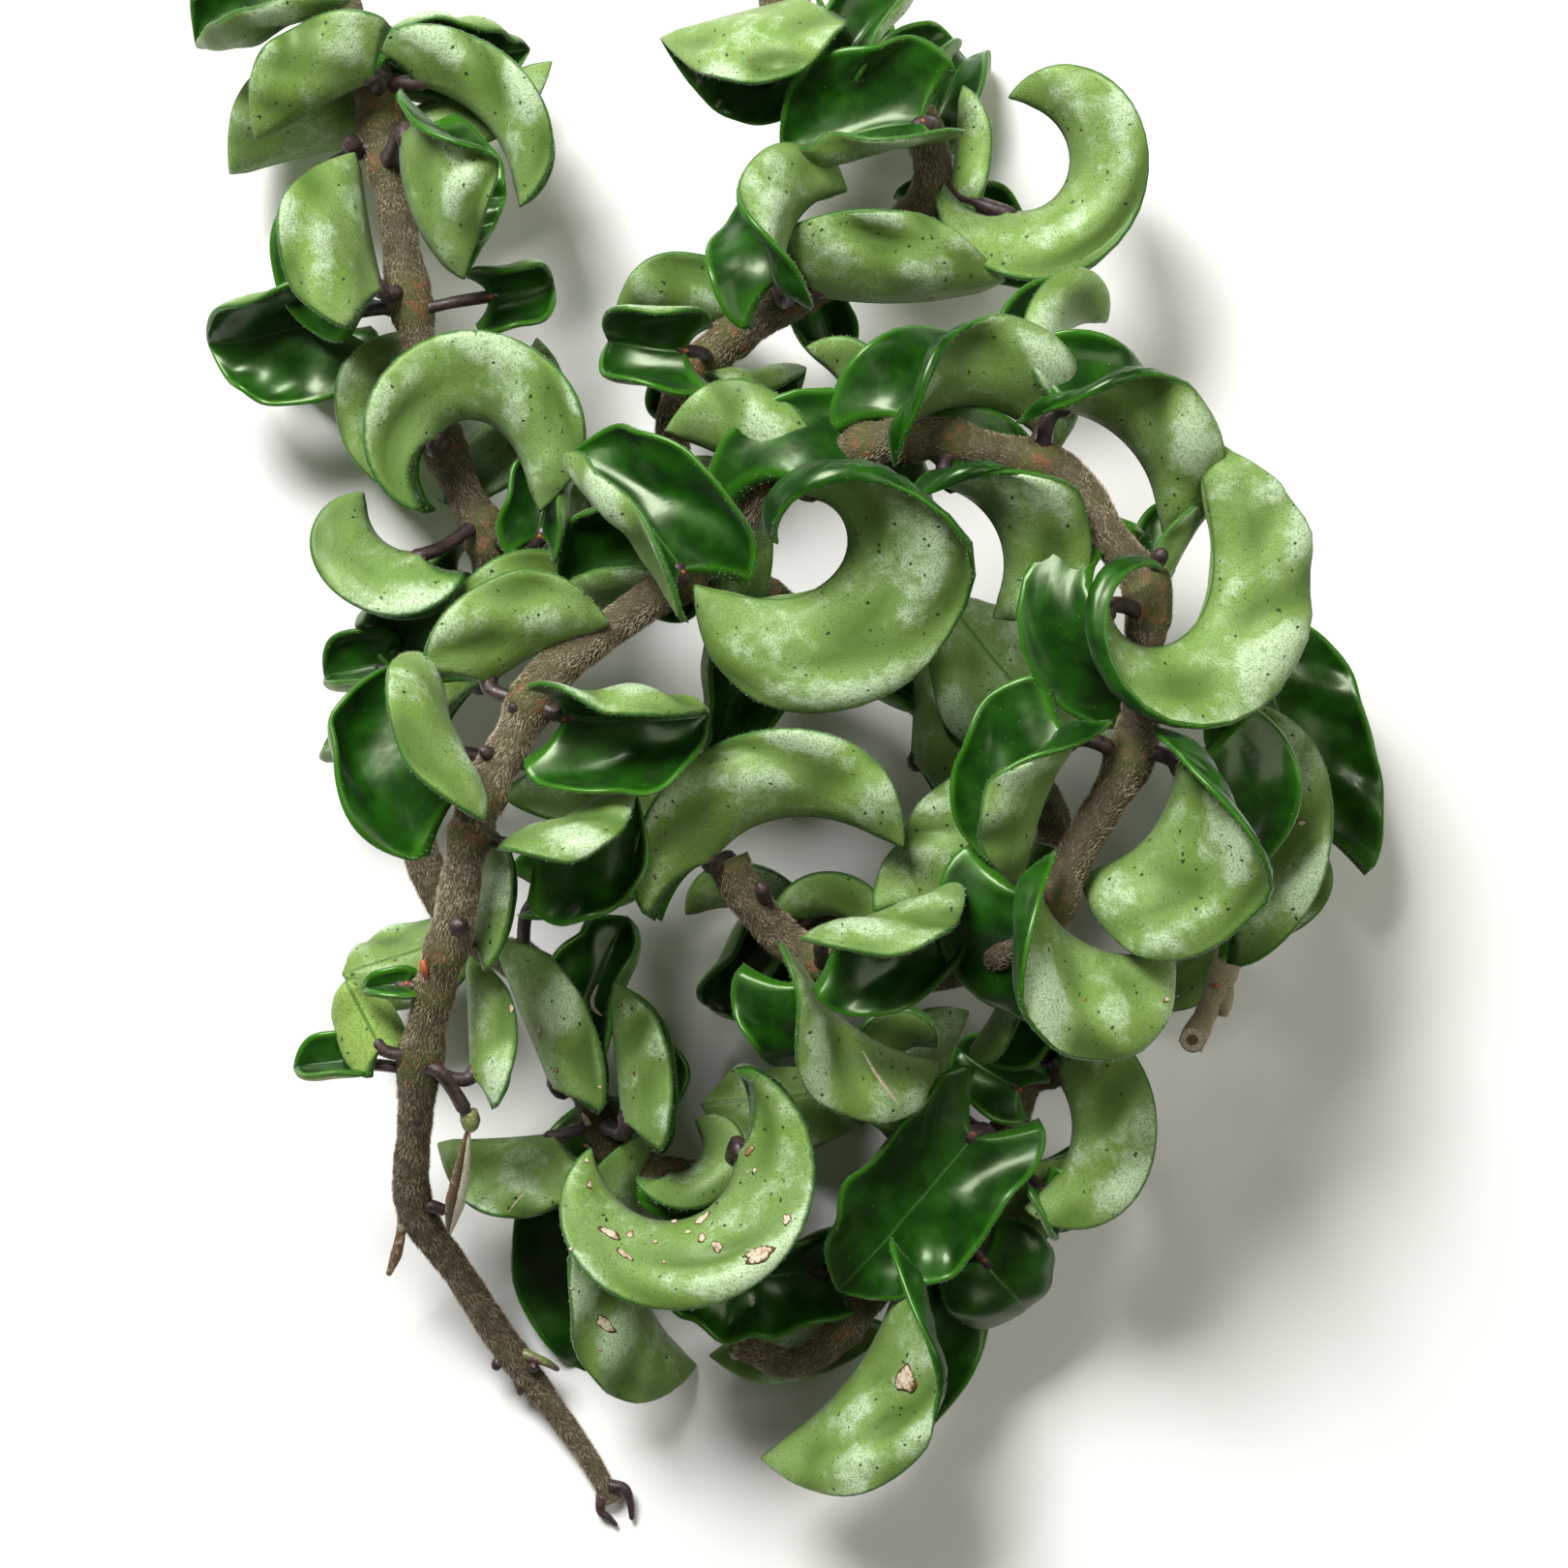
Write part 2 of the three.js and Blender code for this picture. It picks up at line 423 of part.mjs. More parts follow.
// Folded blade as a closed solid: both faces carry the same triangles, joined by a rim
function leafGeometry(leaf) {
  const short = leaf[6] <= SHORT_LEAF;
  const longRows = leaf[6] > LONG_LEAF ? LONG_ROWS : MEDIUM_ROWS;
  const rows = short ? SHORT_ROWS : longRows;
  const halfColumns = short ? NARROW_COLUMNS : WIDE_COLUMNS;
  const plainHalf = Array.from({ length: halfColumns }, (_, column) => (column + 1) / halfColumns);
  const rim = leaf[14];
  const firstHalf = (rim < 0 ? RIM_COLUMNS : plainHalf).map((out) => -out).reverse();
  const stops = [...firstHalf, 0, ...(rim > 0 ? RIM_COLUMNS : plainHalf)];
  const columns = stops.length - 1;
  const middle = Array.from({ length: rows + 1 }, (_, row) => (
    stops.map((across) => bladePoint(leaf, Math.min(row / rows, LAST_STATION), across))
  ));
  const spotAt = (row, column) => {
    const nearRow = THREE.MathUtils.clamp(row, 0, rows);
    return middle[nearRow][THREE.MathUtils.clamp(column, 0, columns)];
  };
  const points = [];
  // Adds the two skin points of one spot of the middle surface and returns their numbers
  const addPair = (row, column) => {
    const isTip = row === rows;
    const before = isTip ? rows - 1 : row;
    const lengthwise = spotAt(before + 1, column).clone().sub(spotAt(before - 1, column));
    const crosswise = spotAt(before, column + 1).clone().sub(spotAt(before, column - 1));
    const normal = new THREE.Vector3().crossVectors(lengthwise, crosswise).normalize();
    const out = isTip ? 1 : Math.abs(stops[column]);
    const half = THREE.MathUtils.lerp(BLADE_THICKNESS, MARGIN_THICKNESS, out * out) / 2;
    const upper = points.push(spotAt(row, column).clone().addScaledVector(normal, half)) - 1;
    const under = points.push(spotAt(row, column).clone().addScaledVector(normal, -half)) - 1;
    return [upper, under];
  };
  const pairs = [];
  for (let row = 0; row < rows; row += 1) {
    pairs.push(Array.from({ length: columns + 1 }, (_, column) => addPair(row, column)));
  }
  const tip = addPair(rows, firstHalf.length);
  pairs.push(Array(columns + 1).fill(tip));

  const faces = [];
  for (let row = 0; row < rows; row += 1) {
    const isLast = row + 1 === rows;
    for (let column = 0; column < columns; column += 1) {
      const [nearUpper, nearUnder] = pairs[row][column];
      const [nextUpper, nextUnder] = pairs[row][column + 1];
      const [farUpper, farUnder] = pairs[row + 1][column];
      const [crossUpper, crossUnder] = pairs[row + 1][column + 1];
      if (isLast) {
        faces.push([nearUpper, farUpper, nextUpper], [nearUnder, nextUnder, farUnder]);
      } else {
        faces.push([nearUpper, farUpper, crossUpper], [nearUpper, crossUpper, nextUpper]);
        faces.push([nearUnder, crossUnder, farUnder], [nearUnder, nextUnder, crossUnder]);
      }
    }
    const [firstUpper, firstUnder] = pairs[row][0];
    const [firstFarUpper, firstFarUnder] = pairs[row + 1][0];
    const [lastUpper, lastUnder] = pairs[row][columns];
    const [lastFarUpper, lastFarUnder] = pairs[row + 1][columns];
    faces.push([firstUpper, firstUnder, firstFarUnder], [firstUpper, firstFarUnder, firstFarUpper]);
    faces.push([lastUpper, lastFarUpper, lastFarUnder], [lastUpper, lastFarUnder, lastUnder]);
  }
  for (let column = 0; column < columns; column += 1) {
    const [upper, under] = pairs[0][column];
    const [nextUpper, nextUnder] = pairs[0][column + 1];
    faces.push([upper, nextUpper, nextUnder], [upper, nextUnder, under]);
  }
  return geometryFrom(points, faces);
}

// Petiole from the nearest spot of the stem to just inside the blade
function petioleGeometry(leaf, curve) {
  const [unitX, unitY, height, heading, pitch, roll] = leaf;
  const end = place(unitX, unitY, height);
  const { along } = leafAxes(heading, pitch, roll);
  const start = curve.getSpacedPoints(240).reduce((best, spot) => (
    spot.distanceTo(end) < best.distanceTo(end) ? spot : best
  ));
  const reach = start.distanceTo(end);
  const rising = start.clone().lerp(end, PETIOLE_LEAVE);
  rising.z += PETIOLE_SAG * reach;
  const arriving = end.clone().addScaledVector(along, -PETIOLE_ARRIVE * reach);
  const stop = end.clone().addScaledVector(along, PETIOLE_ROOT);
  const path = new THREE.CubicBezierCurve3(start, rising, arriving, stop);
  const rings = 2 + Math.floor(reach / PETIOLE_SECTION);
  return tube(path, () => PETIOLE_RADIUS, rings, PETIOLE_SIDES);
}

// One stem with all its petioles and leaves fused into a single closed body
function vine(name, stemRows, leafRows, colour) {
  const { curve, solid } = stemSolid(stemRows);
  let body = solid;
  for (const leaf of leafRows) {
    body = body.add(solidFrom(petioleGeometry(leaf, curve)));
    body = body.add(solidFrom(leafGeometry(leaf)));
  }
  const underside = new THREE.BoxGeometry(CUT_SIZE, CUT_SIZE, CUT_DEPTH)
    .translate(0, 0, -CUT_DEPTH / 2);
  body = body.subtract(solidFrom(underside));
  // Crossing leaves can seal a tiny hollow or shave off a scrap; only the outer skin is kept
  const skin = body.decompose().reduce((best, shell) => (
    shell.volume() > best.volume() ? shell : best
  ));
  const mesh = new THREE.Mesh(
    geometryOf(skin),
    new THREE.MeshStandardMaterial({ color: colour, roughness: 0.5, side: THREE.FrontSide }),
  );
  mesh.name = name;
  return mesh;
}

const plant = new THREE.Group();
plant.name = 'hindu_rope_plant';
plant.add(
  vine('vine_left', VINE_LEFT_STEM, VINE_LEFT_LEAVES, 0x6f9a4b),
  vine('vine_right', VINE_RIGHT_STEM, VINE_RIGHT_LEAVES, 0x648f42),
  vine('vine_front', VINE_FRONT_STEM, VINE_FRONT_LEAVES, 0x7aa555),
  vine('vine_lower', VINE_LOWER_STEM, VINE_LOWER_LEAVES, 0x5b8a3c),
);

export default plant;
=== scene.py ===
"""Looks of the hindu rope plant: woody hairy stems with folded, curled waxy leaves.

Sizes are in millimetres up to the point where a mesh is made, and in metres after it.
"""
import math
from collections import namedtuple
from functools import cached_property

import bpy
import numpy as np
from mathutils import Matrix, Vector
from mathutils.bvhtree import BVHTree


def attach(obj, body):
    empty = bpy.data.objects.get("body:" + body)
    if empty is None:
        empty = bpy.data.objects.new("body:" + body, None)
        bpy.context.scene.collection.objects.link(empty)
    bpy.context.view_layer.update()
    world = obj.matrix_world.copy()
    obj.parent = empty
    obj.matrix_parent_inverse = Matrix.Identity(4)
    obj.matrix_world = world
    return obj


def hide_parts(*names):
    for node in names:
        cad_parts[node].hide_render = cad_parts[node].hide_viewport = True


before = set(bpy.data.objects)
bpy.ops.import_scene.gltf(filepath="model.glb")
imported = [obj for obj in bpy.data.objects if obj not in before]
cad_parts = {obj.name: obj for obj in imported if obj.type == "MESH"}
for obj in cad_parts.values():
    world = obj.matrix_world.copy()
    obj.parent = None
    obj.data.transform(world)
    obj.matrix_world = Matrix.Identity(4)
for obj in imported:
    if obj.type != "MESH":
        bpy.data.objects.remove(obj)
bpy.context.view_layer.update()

# Picture frame in which the stems and leaves were measured
FRAME_HALF = 810                 # half of its side, picture units
UNITS_PER_MM = 7                 # at the reference height
EYE_HEIGHT = 680                 # mm
REFERENCE_HEIGHT = 28            # mm
CENTRE = np.array([1.54, 7.78, 0.0])     # middle of the plant, mm from the frame's middle
MM = 0.001
UP = np.array([0.0, 0.0, 1.0])

# Leaf blade, as in the solids: lengths along it are shares of its length
BLADE_THICKNESS = 1.5            # at the rib, mm
MARGIN_THICKNESS = 0.9           # at the margin, mm
LOBE_LENGTH = 0.24               # how far the basal lobes reach back
LOBE_SPAN = 0.34                 # how far along the basal flare fades
BASE_WIDTH = 0.5                 # width at the base, share of the full width
WIDEST = 0.35                    # where the blade is widest
TIP_POWER = 3.0                  # how blunt the tip is
TWIST_SPAN = 0.42                # how far along the twist is complete
RIM_START = 0.45                 # where the margin starts to turn, share of the half width
RIM_ROLL = 0.25                  # share of the half width over which it turns
RIM_SPAN = 0.52                  # how far along the margin is turned

# Finer mesh of the looks
BLADE_ROWS = 36
BLADE_COLUMNS = 22
BLADE_REACH = 0.998              # share of the length that the mesh covers
SECTION_STEPS = 12               # steps in which the folded section is summed up
BEND_TABLE = np.linspace(-0.3, 1.0, 261)               # stations of the bent middle line
MARGIN_ROUND = 0.55              # radius of the rounded margin, mm
DENT_DEPTH = 1.1                 # depth of the dents in a blade, mm
DENT_WAVES = [(15.0, 0.2), (6.5, 2.3)]                 # length in mm and direction of soft waves
PUCKER_WAVES = [(11.0, 1.1), (9.5, -0.7)]              # and of broad bumps with narrow valleys
FULL_DENT_LENGTH = 24            # leaves shorter than this, in mm, have flatter dents
LEAF_SEED = 4100
CURVE_STEPS = 40                 # points of a curve between two spots
END_DOME = 0.25                  # how far a tube's end stands out, share of its radius
STEM_RING_STEP = 0.9             # mm
STEM_SIDES = 22
NODE_LENGTH = 2.2                # half length of the swelling at a node, mm
NODE_SWELL = 0.22                # how much thicker the stem is there
PETIOLE_RINGS = 14
PETIOLE_SIDES = 12
PETIOLE_RADIUS = 1.15            # mm
PETIOLE_ROOT = 2                 # how far a stalk runs into its blade, mm
PETIOLE_SAG = 0.16               # how much it arches, share of its reach
PETIOLE_LEAVE = 0.4              # how straight it leaves the stem
PETIOLE_ARRIVE = 0.3             # how straight it meets the blade
GLAND_RADIUS = 0.42              # mm
BEAD_RINGS = 7
BEAD_SIDES = 10
VECTOR_VALUES = ("flow",)        # per-vertex values that are directions

# Rings of a cut face: how far out in mm, share of the radius, and how deep into the wood
CUT_FACE = [(0.10, 1.03, 0.12), (0.22, 1.0, 0.3), (0.27, 0.86, 0.5), (0.28, 0.6, 0.55),
            (0.29, 0.42, 0.9), (0.30, 0.15, 1.0)]
STUB_FACE = [(0.06, 0.97, 0.0), (0.11, 0.85, 0.45), (0.12, 0.6, 0.5), (0.13, 0.42, 0.8),
             (0.14, 0.15, 1.0)]

# Stems: rows of [picture x, picture y, height mm, radius mm]
STEMS = {
    "left": [
        [335, -30, 20, 2.7], [352, 10, 22, 2.7], [385, 80, 24, 2.7], [395, 145, 25, 2.9],
        [408, 210, 26, 2.6], [420, 292, 26, 2.9], [432, 350, 25, 2.5], [456, 453, 25, 2.8],
        [482, 515, 25, 2.6], [506, 564, 24, 3.0], [505, 630, 18, 2.6], [450, 700, 15, 2.6],
        [425, 800, 15, 2.8], [450, 920, 15, 2.6], [500, 975, 15, 2.5], [556, 1007, 16, 2.7],
        [600, 1110, 16, 2.5], [655, 1205, 16, 2.6], [740, 1213, 18, 2.5], [790, 1190, 16, 2.2],
    ],
    "right": [
        [800, -30, 18, 2.7], [810, 20, 20, 2.7], [860, 65, 20, 2.7], [920, 95, 21, 2.8],
        [960, 150, 21, 2.7], [960, 200, 20, 2.7], [900, 260, 20, 2.6], [822, 305, 22, 2.9],
        [735, 368, 20, 2.8], [695, 440, 17, 2.6], [720, 540, 15, 2.6], [820, 640, 15, 2.6],
        [930, 710, 15, 2.6], [1040, 780, 16, 2.6], [1090, 860, 16, 2.5], [1040, 930, 15, 2.5],
        [930, 960, 15, 2.3], [830, 950, 15, 2.2],
    ],
    "front": [
        [752, 890, 40, 2.6], [765, 918, 40, 2.8], [830, 985, 39, 2.7], [900, 1012, 40, 2.6],
        [985, 1000, 44, 2.7], [1045, 975, 50, 2.6], [1085, 935, 54, 3.0], [1110, 885, 55, 2.7],
        [1145, 825, 56, 2.7], [1165, 790, 56, 3.1], [1177, 740, 56, 2.7], [1182, 670, 56, 2.6],
        [1185, 610, 56, 3.0], [1150, 560, 56, 2.6], [1100, 492, 55, 3.0], [1030, 468, 55, 2.6],
        [940, 452, 55, 3.0], [870, 468, 53, 2.6], [790, 506, 50, 3.0], [745, 550, 48, 2.6],
        [700, 600, 48, 2.9], [650, 635, 49, 2.6], [605, 668, 51, 2.7], [560, 706, 54, 3.1],
        [530, 765, 55, 2.8], [500, 815, 55, 3.1], [482, 880, 54, 2.7], [468, 955, 52, 3.0],
        [450, 1020, 47, 2.6], [435, 1092, 41, 2.9], [428, 1170, 31, 2.4], [428, 1246, 21, 2.8],
        [470, 1310, 13, 2.2], [525, 1393, 6.5, 2.4], [568, 1450, 3.4, 1.8], [610, 1510, 1.6, 1.5],
        [632, 1550, 1.1, 1.4],
    ],
    "lower": [
        [1230, 1080, 22, 1.9], [1245, 1050, 22, 1.6], [1262, 1010, 23, 2.2], [1275, 960, 23, 2.4],
        [1250, 910, 20, 2.6], [1180, 930, 18, 2.6], [1190, 1010, 18, 2.6], [1165, 1070, 19, 2.6],
        [1096, 1098, 20, 2.8], [1058, 1115, 19, 2.6], [1040, 1170, 18, 2.6], [977, 1253, 18, 2.6],
        [920, 1300, 17, 2.8], [870, 1375, 15, 2.5], [820, 1408, 13, 2.2], [768, 1392, 13, 2.0],
    ],
}

# A leaf starts at a spot of the picture and at a height in mm. Its heading, roll and bend are in
# degrees, as are the opening of its margins, their flare at the base, the fold along the rib, the
# twist, and the turn of the folded-out margin, whose sign names the half. Its half width is a
# share of its length, and ease says how much of the bend comes early.
Leaf = namedtuple("Leaf", "x y height heading roll length bend opening width flare fold"
                  " twist ease rim", defaults=(0, 0, 0))

LEAVES = {
    "left": [
        [332, 0, 28, 197, -30, 20, 10, -20, 0.75, 40, 80],
        [385, 68, 14, 6, -10, 24, 10, -25, 0.5, 30, 80],
        [388, 78, 34, 203, -95, 20, 10, 5, 0.63, 15, 62],
        [376, 145, 15, 189, -85, 21, 10, 5, 0.79, 20, 62],
        [418, 138, 40, -95, 85, 24, -55, 5, 0.71, 30, 62, 5, 0, -150],
        [415, 120, 20, 20, -100, 24, 0, 10, 0.42, 10, 62],
        [392, 302, 32, 105, 80, 21, 10, 0, 0.82, 30, 64],
        [345, 328, 19, 195, 28, 20, 20, 20, 0.6, 40, 80],
        [345, 335, 3.2, 235, 20, 11, 40, 0, 0.9, 40, 75],
        [505, 306, 27, 10, -15, 10, 20, -10, 0.85, 40, 80],
        [448, 455, 37, 75, 92, 26, 150, 5, 0.53, 10, 62, 8, 1.2],
        [470, 470, 16, 35, -95, 22, 40, 10, 0.53, 10, 62],
        [440, 462, 15, 110, 90, 18, 30, 5, 0.79, 10, 62],
        [436, 574, 34, 190, 90, 15, 115, 5, 0.8, 10, 62],
        [475, 596, 11, 215, 25, 18, 30, -10, 0.7, 40, 80],
        [560, 556, 33.3, 80, 25, 15, 20, 0, 0.5, 40, 80],
        [590, 596, 17, 88, -90, 14, 0, 10, 0.35, 10, 62],
        [498, 708, 29.5, 75, 92, 24, 60, 5, 0.47, 10, 62],
        [400, 690, 9, 185, -20, 10, 20, -20, 0.8, 30, 80],
        [390, 790, 14, 165, -60, 9, 20, 5, 0.7, 10, 62],
        [560, 790, 24, -5, -95, 24, -10, 5, 0.42, 10, 62],
        [560, 925, 25, 10, 30, 16, 20, 10, 0.5, 30, 80],
        [452, 976, 17, 200, 150, 15, 10, 40, 0.55, 20, 80],
        [575, 1125, 26, 112, -90, 24, 0, 5, 0.47, 10, 62],
        [648, 1160, 29, 98, -88, 21, -5, 5, 0.47, 10, 62],
        [664, 1165, 15, 75, -10, 14, 20, 10, 0.45, 30, 80],
        [575, 1175, 17, 188, 85, 18, 10, 10, 0.8, 15, 62],
        [764, 1188, 33, -85, 92, 35, 185, 5, 0.42, 5, 62, 0, 0.1],
        [690, 1215, 22, -10, -70, 13, 150, 5, 0.6, 20, 62],
        [668, 1222, 9.9, -112, -62, 34, 80, 5, 0.58, 20, 62],
        [428, 84, 27, -8, 95, 27, 85, 5, 0.38, 10, 62],
        [605, 1062, 22, 72, 15, 18, 20, -10, 0.55, 30, 80],
    ],
    "right": [
        [830, 0, 27, 195, 80, 22, 0, 5, 0.79, 20, 62],
        [860, 20, 14, -75, 40, 13, 40, 0, 0.7, 40, 75],
        [880, 60, 30, 60, 30, 14, 40, 0, 0.6, 40, 75],
        [930, 90, 18, 50, 30, 12, 40, 0, 0.6, 40, 75],
        [955, 128, 33, 188, -30, 22, 20, -5, 0.65, 30, 78],
        [965, 130, 5.3, 70, 10, 14, 50, 0, 0.75, 30, 75],
        [985, 205, 23, 80, -90, 17, 10, 10, 0.35, 10, 62],
        [1038, 220, 27, -20, -92, 30, 200, 5, 0.45, 20, 62, 0, 0.2],
        [806, 290, 42.5, 95, 50, 22, 95, 0, 0.52, 35, 66, 35, 0, -120],
        [838, 300, 31, -12, 88, 29, -30, 5, 0.53, 20, 62],
        [950, 240, 15, -5, 15, 17, 30, 0, 0.6, 30, 78],
        [745, 330, 20, 165, -90, 16, 20, 5, 0.65, 20, 62],
        [838, 305, 12, -65, 0, 13, 20, 0, 0.5, 30, 80],
        [710, 362, 30, 175, 10, 13, 40, -10, 0.8, 40, 80],
        [712, 375, 14, -110, 0, 10, 40, -10, 0.7, 40, 80],
        [745, 385, 17, -5, -60, 13, 20, 0, 0.6, 30, 75],
        [1092, 765, 33, 128, 165, 27, -5, 45, 0.42, 10, 80],
        [945, 790, 25, 85, -92, 24, 10, 5, 0.53, 10, 62],
        [958, 935, 39.5, 55, 160, 24, 0, 40, 0.4, 10, 80],
        [880, 690, 23, -20, 30, 13, 40, 5, 0.5, 30, 75],
        [730, 560, 24, 230, 40, 15, 40, 5, 0.5, 30, 75],
        [800, 945, 18, 150, -90, 14, 60, 5, 0.55, 10, 62],
        [830, 950, 31, 40, 90, 13, 130, 5, 0.55, 10, 62],
        [815, 965, 14, 250, 40, 13, 20, 5, 0.5, 30, 75],
        [770, 640, 21, -100, 20, 22, 20, -10, 0.5, 30, 80],
        [800, 955, 13, -125, 15, 17, 30, -5, 0.55, 30, 80],
    ],
    "front": [
        [730, 893, 45, 62, 95, 32.5, 98, 8, 0.44, 0, 62, 5, 0.5],
        [862, 966, 53, 15, -48, 20, 20, -10, 0.7, 40, 76, -10],
        [830, 1014, 40, -55, -50, 26, 60, 0, 0.5, 40, 66, -45],
        [1072, 922, 57, -74, -70, 25, 88, 8, 0.71, 25, 60, -18, 0.5, 150],
        [1082, 928, 46, 172, -100, 16, 50, 10, 0.6, 20, 62],
        [1107, 763, 58, 238, -60, 22, 30, 0, 0.65, 20, 64, -10, 0, 150],
        [1218, 788, 57, -90, 68, 24, 85, 8, 0.86, 25, 60, 20, 0, -150],
        [1143, 628, 62, -88, -72, 47, 180, 8, 0.32, 25, 60, -16, 1.6, 150],
        [1205, 595, 50, 70, 60, 12, 30, 10, 0.6, 20, 62],
        [1094, 420, 58, -5, 64, 27, 85, 8, 0.48, 35, 60, 24, 0.3, -150],
        [976, 500, 58, -12, 64, 25, 108, 8, 0.55, 30, 60, 20, 0.3, -150],
        [938, 438, 57, 40, 64, 26, 95, 5, 0.55, 25, 60, 24, 0.3, -150],
        [900, 440, 48, 110, -90, 15, 40, 10, 0.5, 20, 62],
        [832, 511, 60, 5, 70, 38.5, 208, 8, 0.48, 35, 60, 18, 0.9, -150],
        [735, 618, 40, 68, -92, 22, 70, 0, 0.42, 10, 62],
        [790, 495, 50, 140, -105, 16, 30, 10, 0.75, 20, 62],
        [704, 594, 54, 124, -34, 25, 35, -22, 0.56, 50, 82],
        [700, 606, 34, 183, -40, 18, 10, -25, 0.95, 30, 82],
        [500, 706, 53, 40, 95, 20, 30, 5, 0.68, 10, 62],
        [582, 740, 57, -3, -28, 21, 20, -25, 0.65, 60, 82],
        [548, 874, 53, 26, -50, 17, 10, -20, 0.9, 60, 82, -5],
        [480, 816, 56, 119, 45, 21, 30, -25, 0.9, 40, 82],
        [422, 1018, 47, 182, -20, 7, 20, 10, 0.45, 30, 80],
        [488, 972, 46, 80, -90, 17, 5, 15, 0.4, 10, 62],
        [490, 1114, 40, 90, -95, 18, 5, 20, 0.45, 10, 62],
        [394, 1086, 43, 118, 165, 11.5, 10, 20, 0.5, 30, 78],
        [366, 1098, 40, 183, -30, 9, 10, 5, 0.6, 30, 75],
        [1088, 385, 50, 100, 60, 15, 120, -20, 0.7, 30, 75],
    ],
    "lower": [
        [1352, 858, 15, 104, -5, 36, 5, 60, 0.36, 20, 88],
        [1262, 925, 32, 62, -92, 30, 60, 5, 0.5, 10, 62],
        [1275, 940, 17, 8, -88, 17, 60, 5, 0.45, 10, 62],
        [1250, 958, 4.1, 232, 88, 16, 0, 5, 0.5, 10, 62],
        [1135, 1080, 22, 15, 5, 8, 20, 10, 0.5, 20, 80],
        [1092, 1108, 27, -50, 92, 24, 110, 5, 0.58, 15, 62],
        [1075, 1228, 26, -60, 20, 8, 40, -10, 0.7, 30, 75],
        [1015, 1300, 22, -50, 0, 13, 60, 110, 0.7, 0, 75],
        [1006, 1170, 28, 231, 5, 32, 20, 32, 0.38, 30, 88],
        [940, 1130, 24, 160, 95, 14, 200, 5, 0.6, 10, 62],
        [985, 1140, 5, 110, 85, 15, 60, 5, 0.7, 15, 62],
        [1045, 1020, 33, -110, 45, 12, 30, -10, 0.8, 40, 66],
        [1055, 1125, 22, 150, 10, 12, 30, 10, 0.6, 30, 80],
        [1070, 1200, 14, 235, 95, 22, 0, 10, 0.42, 10, 62],
        [928, 1332, 23, -104, 76, 34, 46, 5, 0.53, 25, 62, 10, 0.3, -140],
        [850, 1310, 16, 185, 15, 26, -8, 10, 0.4, 20, 85],
        [872, 1350, 5.4, 195, 90, 22, -10, 5, 0.47, 10, 62],
        [860, 1130, 14, 185, 160, 20, 0, 40, 0.4, 10, 80],
    ],
}

# Stem rows up to which the bark is bare and knobbly, and young leaves with how pale they are
BARE_ROWS = {"lower": 4.0}
YOUNG = {"front": {22: 0.8, 25: 0.9, 26: 0.9}}

def place(unit_x, unit_y, height):
    """A point of the picture frame at a given height, in millimetres."""
    scale = (EYE_HEIGHT - height) / (EYE_HEIGHT - REFERENCE_HEIGHT) / UNITS_PER_MM
    spot = np.array([(unit_x - FRAME_HALF) * scale, (FRAME_HALF - unit_y) * scale, height])
    return spot - CENTRE


def smooth(share):
    share = np.clip(share, 0, 1)
    return share * share * (3 - 2 * share)


def unit(vector):
    return vector / np.linalg.norm(vector)


class Curve:
    """Centripetal curve through the listed spots, read by its length from start to end."""

    def __init__(self, spots):
        spots = np.asarray(spots, float)
        chain = np.vstack([2 * spots[0] - spots[1], spots, 2 * spots[-1] - spots[-2]])
        t = np.linspace(0, 1, CURVE_STEPS, endpoint=False)[:, None]
        pieces = []
        shares = []
        for first in range(len(spots) - 1):
            a, b, c, d = chain[first:first + 4]
            ab, bc, cd = (math.sqrt(np.linalg.norm(q - p)) for p, q in ((a, b), (b, c), (c, d)))
            leave = ((b - a) / ab - (c - a) / (ab + bc) + (c - b) / bc) * bc
            reach = ((c - b) / bc - (d - b) / (bc + cd) + (d - c) / cd) * bc
            pieces.append(b + leave * t + (3 * (c - b) - 2 * leave - reach) * t ** 2
                          + (2 * (b - c) + leave + reach) * t ** 3)
            shares.append(first + t[:, 0])
        self.points = np.vstack(pieces + [spots[-1:]])
        self.share = np.concatenate(shares + [[len(spots) - 1]])
        runs = np.linalg.norm(np.diff(self.points, axis=0), axis=1)
        self.run = np.concatenate([[0], np.cumsum(runs)])
        self.length = self.run[-1]

    def at(self, run):
        columns = [np.interp(run, self.run, self.points[:, axis]) for axis in range(3)]
        return np.stack(columns, -1)

    def row_share(self, run):
        return np.interp(run, self.run, self.share)

    def radii(self, run, rows):
        """Radii from the last column of the rows that the curve runs through."""
        return np.interp(self.row_share(run), np.arange(len(rows)), [row[3] for row in rows])

    def nearest(self, spot):
        return int(np.argmin(np.linalg.norm(self.points - spot, axis=1)))


def frames_along(points):
    """Tangent and two side directions at each point, turned as little as possible."""
    tangents = np.gradient(points, axis=0)
    tangents /= np.linalg.norm(tangents, axis=1, keepdims=True)
    side = np.cross(tangents[0], UP)
    if np.linalg.norm(side) < 1e-3:
        side = np.array([1.0, 0.0, 0.0])
    sides = []
    for tangent in tangents:
        side = side - tangent * np.dot(side, tangent)
        side /= np.linalg.norm(side)
        sides.append(side)
    sides = np.array(sides)
    return tangents, sides, np.cross(tangents, sides)


def linked(name, data):
    """A new object of the scene."""
    piece = bpy.data.objects.new(name, data)
    bpy.context.scene.collection.objects.link(piece)
    return piece


